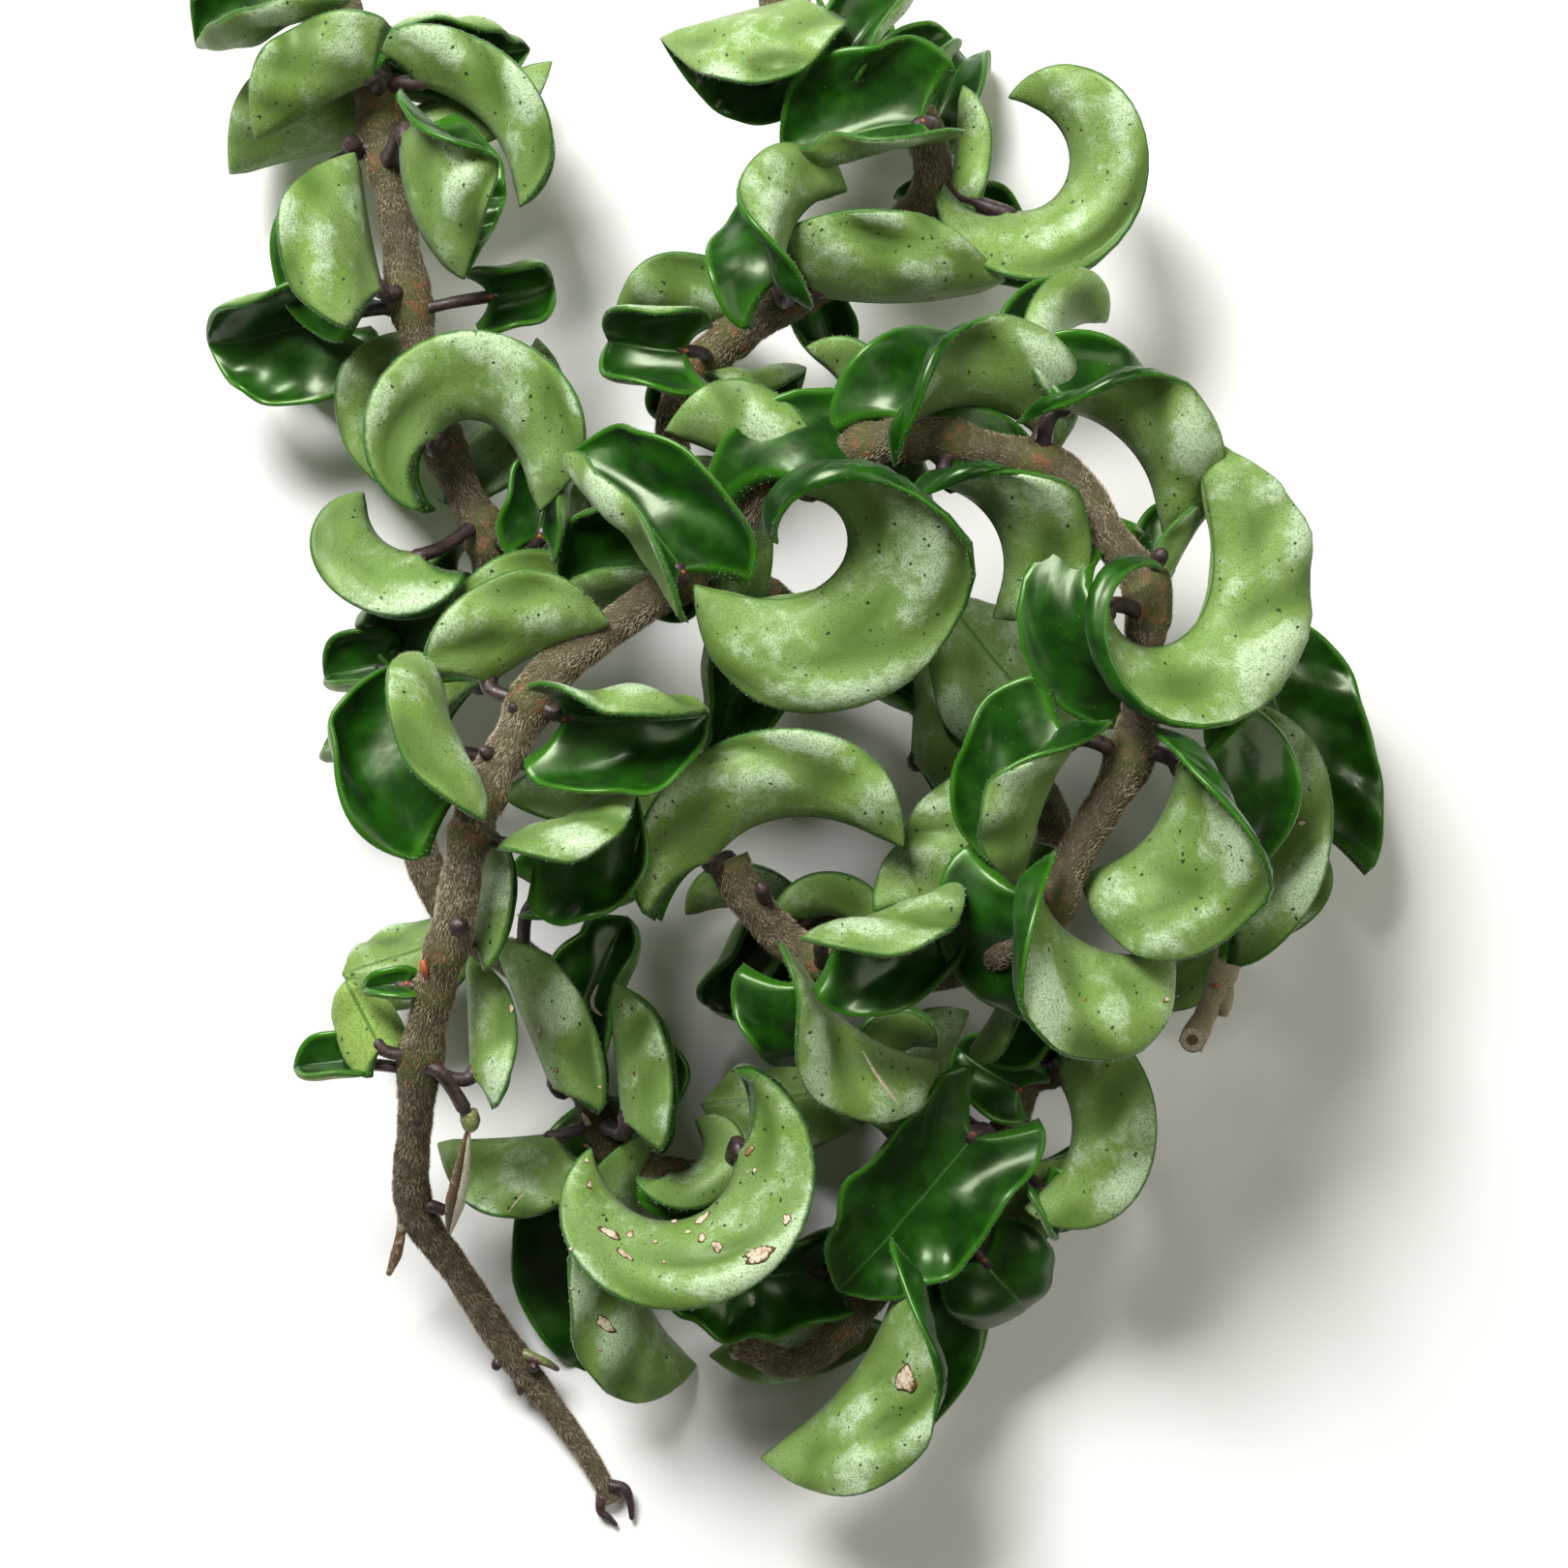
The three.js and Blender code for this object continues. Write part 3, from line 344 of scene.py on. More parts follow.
class Mesh:
    """Collects vertices, faces and per-vertex values of one piece."""

    def __init__(self):
        self.vertices = []
        self.faces = []
        self.values = {}
        self.count = 0

    def add(self, vertices, faces, **values):
        vertices = np.asarray(vertices, float)
        self.vertices.append(vertices)
        self.faces.extend([[corner + self.count for corner in face] for face in faces])
        for name, value in values.items():
            shape = (len(vertices), 3) if name in VECTOR_VALUES else (len(vertices),)
            value = np.broadcast_to(np.asarray(value, float), shape)
            self.values.setdefault(name, []).append(value)
        self.count += len(vertices)

    def to_object(self, name, material):
        mesh = bpy.data.meshes.new(name)
        vertices = np.concatenate(self.vertices)
        vertices[:, 2] = np.maximum(vertices[:, 2], 0)
        mesh.from_pydata((vertices * MM).tolist(), [], self.faces)
        mesh.materials.append(material)
        for key, parts in self.values.items():
            kind, field = (("FLOAT_VECTOR", "vector") if key in VECTOR_VALUES
                           else ("FLOAT", "value"))
            whole = np.concatenate(parts).astype(np.float32).ravel()
            mesh.attributes.new(key, kind, "POINT").data.foreach_set(field, whole)
        mesh.polygons.foreach_set("use_smooth", np.ones(len(mesh.polygons), bool))
        mesh.update()
        return linked(name, mesh)


def tube_grid(centres, radii, sides, bulge=1.0):
    """Vertices and outward faces of a closed round tube with domed ends."""
    tangents, first, second = frames_along(centres)
    angles = np.linspace(0, 2 * math.pi, sides, endpoint=False)
    ring = (np.cos(angles)[None, :, None] * first[:, None, :]
            + np.sin(angles)[None, :, None] * second[:, None, :])
    reach = np.broadcast_to(radii[:, None] * bulge, (len(centres), sides))
    vertices = (centres[:, None, :] + ring * reach[:, :, None]).reshape(-1, 3)
    faces = []
    for row in range(len(centres) - 1):
        for side in range(sides):
            after = (side + 1) % sides
            faces.append([row * sides + side, row * sides + after,
                          (row + 1) * sides + after, (row + 1) * sides + side])
    start = len(vertices)
    last = start - sides
    vertices = np.vstack([vertices, centres[0] - tangents[0] * radii[0] * END_DOME,
                          centres[-1] + tangents[-1] * radii[-1] * END_DOME])
    for side in range(sides):
        after = (side + 1) % sides
        faces.append([start, after, side])
        faces.append([start + 1, last + side, last + after])
    return vertices, faces


def width_share(along):
    """Width of half a blade at a share of its length, as a share of its full width."""
    round_base = np.sqrt(np.clip(1 - (1 - along / WIDEST) ** 2, 0, 1))
    base = np.where(along < WIDEST, BASE_WIDTH + (1 - BASE_WIDTH) * round_base, 1.0)
    return base * (1 - np.clip((along - WIDEST) / (1 - WIDEST), 0, 1) ** TIP_POWER)


def leaf_axes(leaf):
    """Directions along a leaf, out of its upper side and across it, where its blade starts."""
    turn, lean = math.radians(leaf.heading), math.radians(leaf.roll)
    along = np.array([math.cos(turn), math.sin(turn), 0.0])
    left = np.array([-math.sin(turn), math.cos(turn), 0.0])
    upper = UP * math.cos(lean) + left * math.sin(lean)
    return along, upper, np.cross(upper, along)


def summed(values):
    """Running sum of a table by the middle of each step, from 0."""
    return np.concatenate([[0], np.cumsum((values[1:] + values[:-1]) / 2)])


def dents_of(u, v, length, half, draw):
    """Height of the soft waves and of the puckers over a blade."""
    dents = np.zeros(u.shape)
    for waves, puckered in ((DENT_WAVES, False), (PUCKER_WAVES, True)):
        for wave, turn in waves:
            turn = turn + draw.uniform(-0.5, 0.5)
            way = (u * length * math.cos(turn) + v * half * math.sin(turn)) * 2 * math.pi / wave
            phase = way + draw.uniform(0, 2 * math.pi)
            if puckered:
                dents += 0.75 * (2 * np.sqrt(np.sin(phase / 2) ** 2 + 0.03) - 1.3)
            else:
                dents += 0.5 * np.sin(phase)
    fade = np.abs(v) ** 0.8 * np.sin(np.clip(1.02 * u + 0.04, 0, 1) * math.pi) ** 0.5
    return dents * fade


def blade(leaf, along, across, draw):
    """Middle surface of a folded, curled blade on a grid, with its half width and its dents."""
    forward_axis, upper_axis, across_axis = leaf_axes(leaf)
    u, v = np.meshgrid(along, across, indexing="ij")
    out = np.abs(v)
    station = u - LOBE_LENGTH * (1 - u) ** 3 * out ** 1.5

    table = BEND_TABLE
    eased = np.where(table < 0, (1 + leaf.ease) * table, table + leaf.ease * table * (1 - table))
    angle = np.radians(leaf.bend) * eased
    step = table[1] - table[0]
    run = summed(np.cos(angle)) * step * leaf.length
    drop = -summed(np.sin(angle)) * step * leaf.length
    forward = np.interp(station, table, run - np.interp(0, table, run))[..., None]
    down = np.interp(station, table, drop - np.interp(0, table, drop))[..., None]
    turned = np.interp(station, table, angle)[..., None]
    points = place(*leaf[:3]) + forward * forward_axis + down * upper_axis

    upper = np.cos(turned) * upper_axis + np.sin(turned) * forward_axis
    spin = np.radians(leaf.twist) * smooth(station / TWIST_SPAN)[..., None]
    normal = upper * np.cos(spin) + across_axis * np.sin(spin)
    side = across_axis * np.cos(spin) - upper * np.sin(spin)

    half = leaf.width * leaf.length * width_share(u)
    first = math.radians(leaf.fold)
    flared = leaf.flare * np.clip(1 - u / LOBE_SPAN, 0, 1) ** 1.5
    change = np.radians(leaf.opening + flared) - first
    over = np.where(v * leaf.rim > 0, math.radians(abs(leaf.rim)), 0.0)
    rim_start = RIM_START + (1 - RIM_START) * np.clip(u / RIM_SPAN, 0, 1)

    def section_angle(spot):
        return first + change * spot + over * smooth((spot - rim_start) / RIM_ROLL)

    sideways = np.zeros(u.shape)
    outward = np.zeros(u.shape)
    for index in range(SECTION_STEPS):
        angle = section_angle(out * (index + 0.5) / SECTION_STEPS)
        sideways += half * np.sin(angle) * out / SECTION_STEPS
        outward += half * np.cos(angle) * out / SECTION_STEPS

    dents = dents_of(u, v, leaf.length, half, draw)
    lift = DENT_DEPTH * min(1.0, leaf.length / FULL_DENT_LENGTH) * dents
    section = section_angle(out)
    outward = outward - lift * np.sin(section)
    sideways = sideways + lift * np.cos(section)
    points = points + outward[..., None] * normal + (sideways * np.sign(v))[..., None] * side
    return points, u, v, half, dents


def grid_normals(points):
    across = np.cross(np.gradient(points, axis=0), np.gradient(points, axis=1))
    size = np.linalg.norm(across, axis=-1, keepdims=True)
    return across / np.maximum(size, 1e-9)


def blade_faces(upper, under):
    """Faces of the two sides of a blade, which share the vertices of their edge."""
    faces = []
    for row in range(len(upper) - 1):
        for column in range(len(upper[0]) - 1):
            for grid, order in ((upper, (0, 1, 2, 3)), (under, (0, 3, 2, 1))):
                corners = (grid[row, column], grid[row + 1, column],
                           grid[row + 1, column + 1], grid[row, column + 1])
                faces.append([corners[corner] for corner in order])
    return faces


def add_leaf(mesh, leaf, number, tone):
    """One leaf as a closed thick blade with a rounded margin."""
    draw = np.random.RandomState(LEAF_SEED + number)
    t = np.linspace(0, 1, BLADE_ROWS + 1)
    along = (0.55 * t + 0.45 * (0.5 - 0.5 * np.cos(math.pi * t))) * BLADE_REACH
    across = np.sin(0.5 * math.pi * np.linspace(-1, 1, BLADE_COLUMNS + 1))
    points, u, v, half, dents = blade(leaf, along, across, draw)
    edge = np.ones(u.shape, bool)
    edge[1:-1, 1:-1] = False
    to_margin = np.minimum((1 - np.abs(v)) * half, u * leaf.length)
    rim = np.clip(to_margin / MARGIN_ROUND, 0, 1)
    thick = (BLADE_THICKNESS + (MARGIN_THICKNESS - BLADE_THICKNESS) * v ** 2) / 2
    thick = thick * np.sqrt(1 - (1 - rim) ** 2) * np.clip(0.2 + 6 * (1 - u), 0, 1)
    offset = grid_normals(points) * np.where(edge, 0, thick)[..., None]

    upper_index = np.arange(u.size).reshape(u.shape)
    under_index = upper_index.copy()
    under_index[~edge] = u.size + np.arange(u.size - edge.sum())

    def both(value):
        return np.concatenate([value.ravel(), value[~edge]])

    vertices = np.vstack([(points + offset).reshape(-1, 3), (points - offset)[~edge]])
    under = np.concatenate([np.where(edge, 0.5, 0.0).ravel(), np.ones(u.size - edge.sum())])
    mesh.add(vertices, blade_faces(upper_index, under_index), under=under,
             margin=both(to_margin), rib=both(np.abs(v) * half), along=both(u),
             dent=both(dents), leaf_draw=draw.uniform(), tone=tone)


# Leaf colours
PALE_GREEN = (0.165, 0.28, 0.05)
PALE_GREY = (0.21, 0.33, 0.1)
# painted shade: darker, yellower green for the hollows of the pale side
PALE_HOLLOW_SHADE = (0.065, 0.13, 0.02)
# whitish wax bloom, also a painted highlight on raised bumps
PALE_BLOOM_AND_HIGHLIGHT = (0.5, 0.65, 0.43)
PALE_GRAIN = (0.085, 0.16, 0.04)
PALE_DULL = (0.12, 0.215, 0.06)
YOUNG_GREEN = (0.27, 0.42, 0.09)
SMUDGE_GREEN = (0.055, 0.12, 0.04)
SPECK_DARK = (0.014, 0.035, 0.012)
SPECK_RUST = (0.15, 0.06, 0.02)
MARGIN_GREEN = (0.03, 0.11, 0.012)
DARK_GREEN = (0.003, 0.028, 0.0008)
BRIGHT_GREEN = (0.012, 0.085, 0.002)
# painted highlight: brighter green band along the margin of the dark side
EDGE_HIGHLIGHT_GREEN = (0.032, 0.16, 0.004)
DARK_RIB = (0.04, 0.12, 0.02)
DUST_PALE = (0.42, 0.52, 0.4)

# Colours of the stems, stalks, glands, hairs, buds and dry skin
BARK_DARK = (0.035, 0.027, 0.015)
BARK_BROWN = (0.095, 0.072, 0.042)
BARK_OLIVE = (0.065, 0.068, 0.026)
BARK_HAIR = (0.32, 0.27, 0.17)
NODE_GREEN = (0.075, 0.085, 0.02)
NODE_SCAR = (0.17, 0.075, 0.035)
BARE_GREY = (0.36, 0.29, 0.20)
BARE_GREEN = (0.24, 0.24, 0.12)
PITH_RING = (0.66, 0.6, 0.5)
PITH_DULL = (0.5, 0.42, 0.32)
PITH_CORE = (0.18, 0.11, 0.05)
STALK_DARK = (0.022, 0.013, 0.014)
STALK_PURPLE = (0.062, 0.034, 0.033)
STALK_SCURF = (0.15, 0.10, 0.07)
GLAND_ORANGE = (0.42, 0.11, 0.02)
GLAND_RED = (0.28, 0.06, 0.02)
STEM_HAIR_PALE = (0.46, 0.39, 0.26)
STEM_HAIR_BROWN = (0.20, 0.15, 0.09)
LEAF_HAIR_PALE = (0.62, 0.68, 0.5)
LEAF_HAIR_DULL = (0.40, 0.46, 0.28)
BUD_GREEN = (0.16, 0.2, 0.05)
BUD_PURPLE = (0.12, 0.06, 0.06)
BUD_PALE = (0.42, 0.44, 0.28)
CORK_PALE = (0.60, 0.52, 0.40)
CORK_BROWN = (0.30, 0.17, 0.08)
CORK_RIM = (0.075, 0.04, 0.012)
DRY_PALE = (0.60, 0.60, 0.45)
DRY_BROWN = (0.16, 0.09, 0.04)
DRY_EDGE = (0.10, 0.07, 0.04)


class Nodes:
    """Short way to write a node tree: each call adds a node and returns one of its outputs."""

    def __init__(self, tree):
        self.tree = tree

    def plug(self, value, socket):
        """Feeds a socket from another node, or sets it to a constant."""
        if isinstance(value, bpy.types.NodeSocket):
            self.tree.links.new(value, socket)
        else:
            socket.default_value = (*value, 1.0) if socket.type == "RGBA" else value

    def add(self, kind, output=0, inputs=None, **settings):
        node = self.tree.nodes.new(kind)
        for key, value in settings.items():
            setattr(node, key, value)
        for key, value in (inputs or {}).items():
            self.plug(value, node.inputs[key])
        return node.outputs[output]

    def math(self, operation, first, second):
        return self.add("ShaderNodeMath", operation=operation, inputs={0: first, 1: second})

    def vector(self, operation, inputs):
        return self.add("ShaderNodeVectorMath", operation=operation, inputs=inputs)

    def ramp(self, value, low, high, low_out=0.0, high_out=1.0):
        """Smooth step of a value from low to high."""
        return self.add("ShaderNodeMapRange", interpolation_type="SMOOTHSTEP",
                        inputs={0: value, 1: low, 2: high, 3: low_out, 4: high_out})

    def mix(self, share, first, second):
        """Colour between two colours."""
        return self.add("ShaderNodeMix", 2, {0: share, 6: first, 7: second}, data_type="RGBA")


def speck_group():
    """Mask of round specks: Size is their radius in cells, Share how many cells hold one."""
    tree = bpy.data.node_groups.new("specks", "ShaderNodeTree")
    tree.interface.new_socket("Place", in_out="INPUT", socket_type="NodeSocketVector")
    for label in ("Scale", "Size", "Share"):
        tree.interface.new_socket(label, in_out="INPUT", socket_type="NodeSocketFloat")
    tree.interface.new_socket("Mask", in_out="OUTPUT", socket_type="NodeSocketFloat")
    given = tree.nodes.new("NodeGroupInput").outputs
    result = tree.nodes.new("NodeGroupOutput")
    nodes = Nodes(tree)
    scaled = nodes.vector("SCALE", {0: given["Place"], "Scale": given["Scale"]})
    cloud = nodes.add("ShaderNodeTexNoise", "Color",
                      {"Vector": scaled, "Scale": 3.0, "Detail": 1.0})
    wobble = nodes.vector("ADD", {0: scaled, 1: nodes.vector("SCALE", {0: cloud, "Scale": 0.4})})
    cell = nodes.add("ShaderNodeTexVoronoi", inputs={"Vector": wobble, "Scale": 1.0}).node.outputs
    inner = nodes.math("MULTIPLY", given["Size"], 0.5)
    near = nodes.ramp(cell["Distance"], inner, given["Size"], 1.0, 0.0)
    pick = nodes.add("ShaderNodeSeparateColor", "Red", {"Color": cell["Color"]})
    chosen = nodes.math("LESS_THAN", pick, given["Share"])
    nodes.plug(nodes.math("MULTIPLY", near, chosen), result.inputs[0])
    return tree


SPECKS = speck_group()


class Finish(Nodes):
    """One material: its patterns follow the plant's own place, and features are sized per mm."""

    def __init__(self, name, **constants):
        self.material = bpy.data.materials.new(name)
        self.material.use_nodes = True
        super().__init__(self.material.node_tree)
        self.shader = self.tree.nodes["Principled BSDF"]
        for key, value in constants.items():
            self.plug(value, self.shader.inputs[key.replace("_", " ")])

    @cached_property
    def place(self):
        return self.add("ShaderNodeTexCoord", "Object")

    def value(self, name):
        """A per-vertex value of the piece."""
        return self.add("ShaderNodeAttribute", "Fac", attribute_name=name)

    def noise(self, per_mm, detail=2.0, roughness=0.5, distortion=0.0):
        """Noise from 0 to 1 whose features are about 1 / per_mm millimetres wide."""
        return self.add("ShaderNodeTexNoise", "Fac", {
            "Vector": self.place, "Scale": per_mm / MM, "Detail": detail,
            "Roughness": roughness, "Distortion": distortion})

    def specks(self, per_mm, size, share):
        return self.add("ShaderNodeGroup", "Mask", {
            "Place": self.place, "Scale": per_mm / MM, "Size": size, "Share": share},
            node_tree=SPECKS)

    def bump(self, height, distance_mm, strength, below=None):
        inputs = {"Height": height, "Distance": distance_mm * MM, "Strength": strength}
        if below is not None:
            inputs["Normal"] = below
        return self.add("ShaderNodeBump", inputs=inputs)

    def painted(self, tint, rough, relief=None):
        """Plugs in the colour, the roughness and the relief, and returns the material."""
        self.plug(tint, self.shader.inputs["Base Color"])
        self.plug(rough, self.shader.inputs["Roughness"])
        if relief is not None:
            self.plug(relief, self.shader.inputs["Normal"])
        return self.material

    def uneven(self, per_mm, detail, low, high):
        """Roughness that wanders between two values."""
        return self.ramp(self.noise(per_mm, detail), 0.3, 0.7, low, high)


def pale_side(wax, grain, patches):
    """Colour of the outside of a blade: grey-green wax with specks, a darker, yellower painted
    shade in its hollows and a whitish painted highlight on its bumps.
    """
    dent = wax.value("dent")
    tint = wax.mix(wax.ramp(patches, 0.35, 0.65), PALE_GREEN, PALE_GREY)
    tint = wax.mix(wax.ramp(wax.value("leaf_draw"), 0.2, 1.0, 0.0, 0.45), tint, PALE_DULL)
    # patches of whitish bloom, which also place the painted highlight
    bloom_and_highlight = wax.noise(0.3, 4.0, 0.62, 0.3)
    # painted shade: darker, yellower green where the dents sink
    tint = wax.mix(wax.ramp(dent, 0.15, -0.8, 0.0, 0.92), tint, PALE_HOLLOW_SHADE)
    # painted highlight: whitish where the dents rise and the bloom patches are strong
    lit = wax.math("ADD", wax.math("MULTIPLY", dent, 0.4), bloom_and_highlight)
    tint = wax.mix(wax.ramp(lit, 0.5, 0.9, 0.0, 0.85), tint, PALE_BLOOM_AND_HIGHLIGHT)
    tint = wax.mix(wax.ramp(wax.value("tone"), 0.0, 1.0), tint, YOUNG_GREEN)
    tint = wax.mix(wax.ramp(grain, 0.44, 0.62, 0.0, 0.55), tint, PALE_GRAIN)
    smudge = wax.math("MULTIPLY", wax.ramp(bloom_and_highlight, 0.47, 0.6),
                      wax.ramp(wax.noise(1.3, 3.0, 0.75), 0.57, 0.67))
    tint = wax.mix(wax.math("MULTIPLY", smudge, 0.65), tint, SMUDGE_GREEN)
    for per_mm, size, share, shade in ((0.5, 0.17, 0.6, SPECK_DARK), (1.2, 0.19, 0.22, SPECK_DARK),
                                       (0.17, 0.08, 0.35, SPECK_RUST)):
        tint = wax.mix(wax.specks(per_mm, size, share), tint, shade)
    edge = wax.math("ADD", wax.value("margin"), wax.math("MULTIPLY", wax.noise(0.8, 1.0), -0.35))
    tint = wax.mix(wax.ramp(edge, -0.05, 0.4, 0.95, 0.0), tint, MARGIN_GREEN)
    rib = wax.math("MULTIPLY", wax.ramp(wax.value("rib"), 0.1, 0.3, 0.7, 0.0),
                   wax.ramp(patches, 0.3, 0.5))
    return wax.mix(rib, tint, MARGIN_GREEN)


def dark_side(wax, cloud):
    """Colour of the inside of a blade: deep green with a painted highlight as a brighter green band
    along its margin, and pale dust.
    """
    tint = wax.mix(wax.ramp(cloud, 0.3, 0.85), DARK_GREEN, BRIGHT_GREEN)
    # painted highlight: brighter green band within a millimetre of the margin
    tint = wax.mix(wax.ramp(wax.value("margin"), 0.1, 1.0, 0.75, 0.0), tint, EDGE_HIGHLIGHT_GREEN)
    tint = wax.mix(wax.ramp(wax.value("rib"), 0.12, 0.5, 0.55, 0.0), tint, DARK_RIB)
    return wax.mix(wax.math("MULTIPLY", wax.specks(1.1, 0.09, 0.16), 0.55), tint, DUST_PALE)


def leaf_material():
    """Waxy blade: pale and matt outside, dark and glossy inside, dark along its margin."""
    wax = Finish("leaf_wax", Coat_Roughness=0.14, Specular_IOR_Level=0.42,
                 Specular_Tint=(0.8, 1.0, 0.6), Sheen_Weight=0.06, Sheen_Roughness=0.45)
    under = wax.ramp(wax.value("under"), 0.45, 0.85)
    cloud = wax.noise(0.22, 2.0, 0.55)
    grain = wax.noise(3.4, 2.0, 0.65)
    pale = pale_side(wax, grain, wax.noise(0.13, 2.0, 0.6))
    tint = wax.mix(under, dark_side(wax, cloud), pale)
    matt = wax.math("ADD", 0.38, wax.math("MULTIPLY", grain, 0.2))
    gloss = wax.math("ADD", 0.25, wax.math("MULTIPLY", cloud, 0.18))
    rough = wax.add("ShaderNodeMix", inputs={0: under, 2: gloss, 3: matt})
    wax.plug(wax.ramp(under, 0.0, 1.0, 0.12, 0.04), wax.shader.inputs["Coat Weight"])
    velvet = wax.bump(wax.math("MULTIPLY", grain, under), 0.1, 0.6)
    ripple = wax.bump(cloud, 0.5, 0.25, velvet)
    vein = wax.bump(wax.ramp(wax.value("rib"), 0.0, 0.45), 0.16, 0.8, ripple)
    return wax.painted(tint, rough, vein)


def bark_material():
    """Woody stem: brown-olive, green and scarred at the nodes, pale where it is bare or cut."""
    bark = Finish("stem_bark", Specular_IOR_Level=0.3)
    green = bark.value("green")
    cut = bark.value("cut")
    fine = bark.noise(2.5, 3.0)
    tint = bark.mix(bark.noise(0.8, 4.0, 0.6), BARK_DARK, BARK_BROWN)
    tint = bark.mix(bark.ramp(bark.noise(0.25, 3.0), 0.4, 0.7, 0.0, 0.7), tint, BARK_OLIVE)
    bare = bark.mix(bark.ramp(fine, 0.35, 0.65), BARE_GREY, BARE_GREEN)
    bare = bark.mix(bark.specks(0.9, 0.22, 0.5), bare, BARK_DARK)
    tint = bark.mix(bark.value("bare"), tint, bare)
    tint = bark.mix(bark.math("MULTIPLY", green, 0.75), tint, NODE_GREEN)
    scarred = bark.math("MULTIPLY", bark.ramp(green, 0.45, 0.8),
                        bark.ramp(bark.noise(0.55, 3.0, 0.6), 0.52, 0.6, 0.0, 0.8))
    tint = bark.mix(scarred, tint, NODE_SCAR)
    tint = bark.mix(bark.ramp(fine, 0.55, 0.75, 0.0, 0.35), tint, BARK_HAIR)
    wood = bark.mix(bark.ramp(fine, 0.4, 0.6), PITH_RING, PITH_DULL)
    tint = bark.mix(bark.ramp(cut, 0.2, 0.45), tint, wood)
    tint = bark.mix(bark.ramp(cut, 0.66, 0.85), tint, PITH_CORE)
    coarse = bark.bump(bark.noise(0.9, 4.0, 0.6), 0.35, 0.7)
    return bark.painted(tint, bark.uneven(1.5, 2.0, 0.65, 0.9),
                        bark.bump(bark.noise(4.0, 3.0, 0.7), 0.12, 0.7, coarse))


def petiole_material():
    """Leaf stalk: dark purple-brown skin with a soft gloss and a little pale scurf."""
    skin = Finish("petiole_skin", Specular_IOR_Level=0.5, Coat_Roughness=0.25)
    tint = skin.mix(skin.ramp(skin.noise(0.6, 3.0), 0.35, 0.7), STALK_DARK, STALK_PURPLE)
    scurf = skin.ramp(skin.noise(1.7, 4.0, 0.7), 0.55, 0.75, 0.0, 0.6)
    return skin.painted(skin.mix(scurf, tint, STALK_SCURF), skin.uneven(1.2, 2.0, 0.32, 0.6),
                        skin.bump(skin.noise(2.4, 4.0, 0.6), 0.14, 0.6))


def gland_material():
    """Small orange gland where the stalk meets the blade."""
    skin = Finish("gland_orange", Specular_IOR_Level=0.5)
    return skin.painted(skin.mix(skin.noise(3.0, 2.0), GLAND_ORANGE, GLAND_RED),
                        skin.uneven(4.0, 2.0, 0.35, 0.6))


def hair_material(name, first, second):
    hair = Finish(name, Specular_IOR_Level=0.4)
    return hair.painted(hair.mix(hair.ramp(hair.noise(0.5, 2.0), 0.35, 0.65), first, second),
                        hair.uneven(1.0, 1.0, 0.45, 0.65))


def bud_material():
    """Young bud and hook: pale green skin with a purple flush."""
    skin = Finish("bud_skin", Specular_IOR_Level=0.5)
    tint = skin.mix(skin.ramp(skin.noise(0.35, 2.0), 0.4, 0.6), BUD_GREEN, BUD_PURPLE)
    paler = skin.ramp(skin.noise(2.0, 3.0), 0.5, 0.7, 0.0, 0.5)
    return skin.painted(skin.mix(paler, tint, BUD_PALE), skin.uneven(1.2, 2.0, 0.35, 0.6),
                        skin.bump(skin.noise(2.4, 3.0, 0.6), 0.1, 0.5))


def cork_material(name, pale, middle, edge, reach):
    """Dry corky skin: pale in the middle, brown where it is browned, darker at its rim."""
    cork = Finish(name, Specular_IOR_Level=0.35)
    patches = cork.noise(0.9, 4.0, 0.65)
    share = cork.math("ADD", cork.value("brown"), cork.ramp(patches, 0.35, 0.65, -0.3, 0.3))
    tint = cork.mix(cork.ramp(share, 0.2, 0.75), pale, middle)
    rim = cork.math("ADD", cork.value("rim"), cork.ramp(patches, 0.35, 0.65, -0.12, 0.12))
    tint = cork.mix(cork.ramp(cork.noise(3.0, 2.0), 0.56, 0.66, 0.0, 0.6), tint, middle)
    tint = cork.mix(cork.ramp(rim, reach, reach + 0.15), tint, edge)
    return cork.painted(tint, cork.uneven(2.0, 2.0, 0.55, 0.8),
                        cork.bump(cork.noise(2.2, 4.0, 0.7), 0.16, 0.8))


def stalk_path(leaf, curve):
    """Smooth path of a stalk from the nearest spot of the stem to just inside the blade."""
    end = place(*leaf[:3])
    along = leaf_axes(leaf)[0]
    start = curve.points[curve.nearest(end)]
    reach = np.linalg.norm(end - start)
    rising = start + (end - start) * PETIOLE_LEAVE + UP * (PETIOLE_SAG * reach)
    arriving = end - along * PETIOLE_ARRIVE * reach
    stop = end + along * PETIOLE_ROOT
    t = np.linspace(0, 1, PETIOLE_RINGS + 1)[:, None]
    return ((1 - t) ** 3 * start + 3 * (1 - t) ** 2 * t * rising
            + 3 * (1 - t) * t ** 2 * arriving + t ** 3 * stop)


def add_stalk(mesh, leaf, curve, draw):
    """Stalk of a leaf, thicker where it leaves the stem and slimmer on a small leaf."""
    path = stalk_path(leaf, curve)
    t = np.linspace(0, 1, len(path))
    slim = min(1.0, 0.62 + leaf.length / 60)
    swell = 1 + 0.55 * np.exp(-(t / 0.16) ** 2) + 0.12 * np.exp(-((1 - t) / 0.2) ** 2)
    radii = PETIOLE_RADIUS * slim * swell
    radii[-1] *= 0.6
    phases = draw.uniform(0, 6, (1, PETIOLE_SIDES))
    ripple = 1 + 0.06 * np.sin(np.linspace(0, 9, len(path))[:, None] + phases)
    mesh.add(*tube_grid(path, radii, PETIOLE_SIDES, ripple))


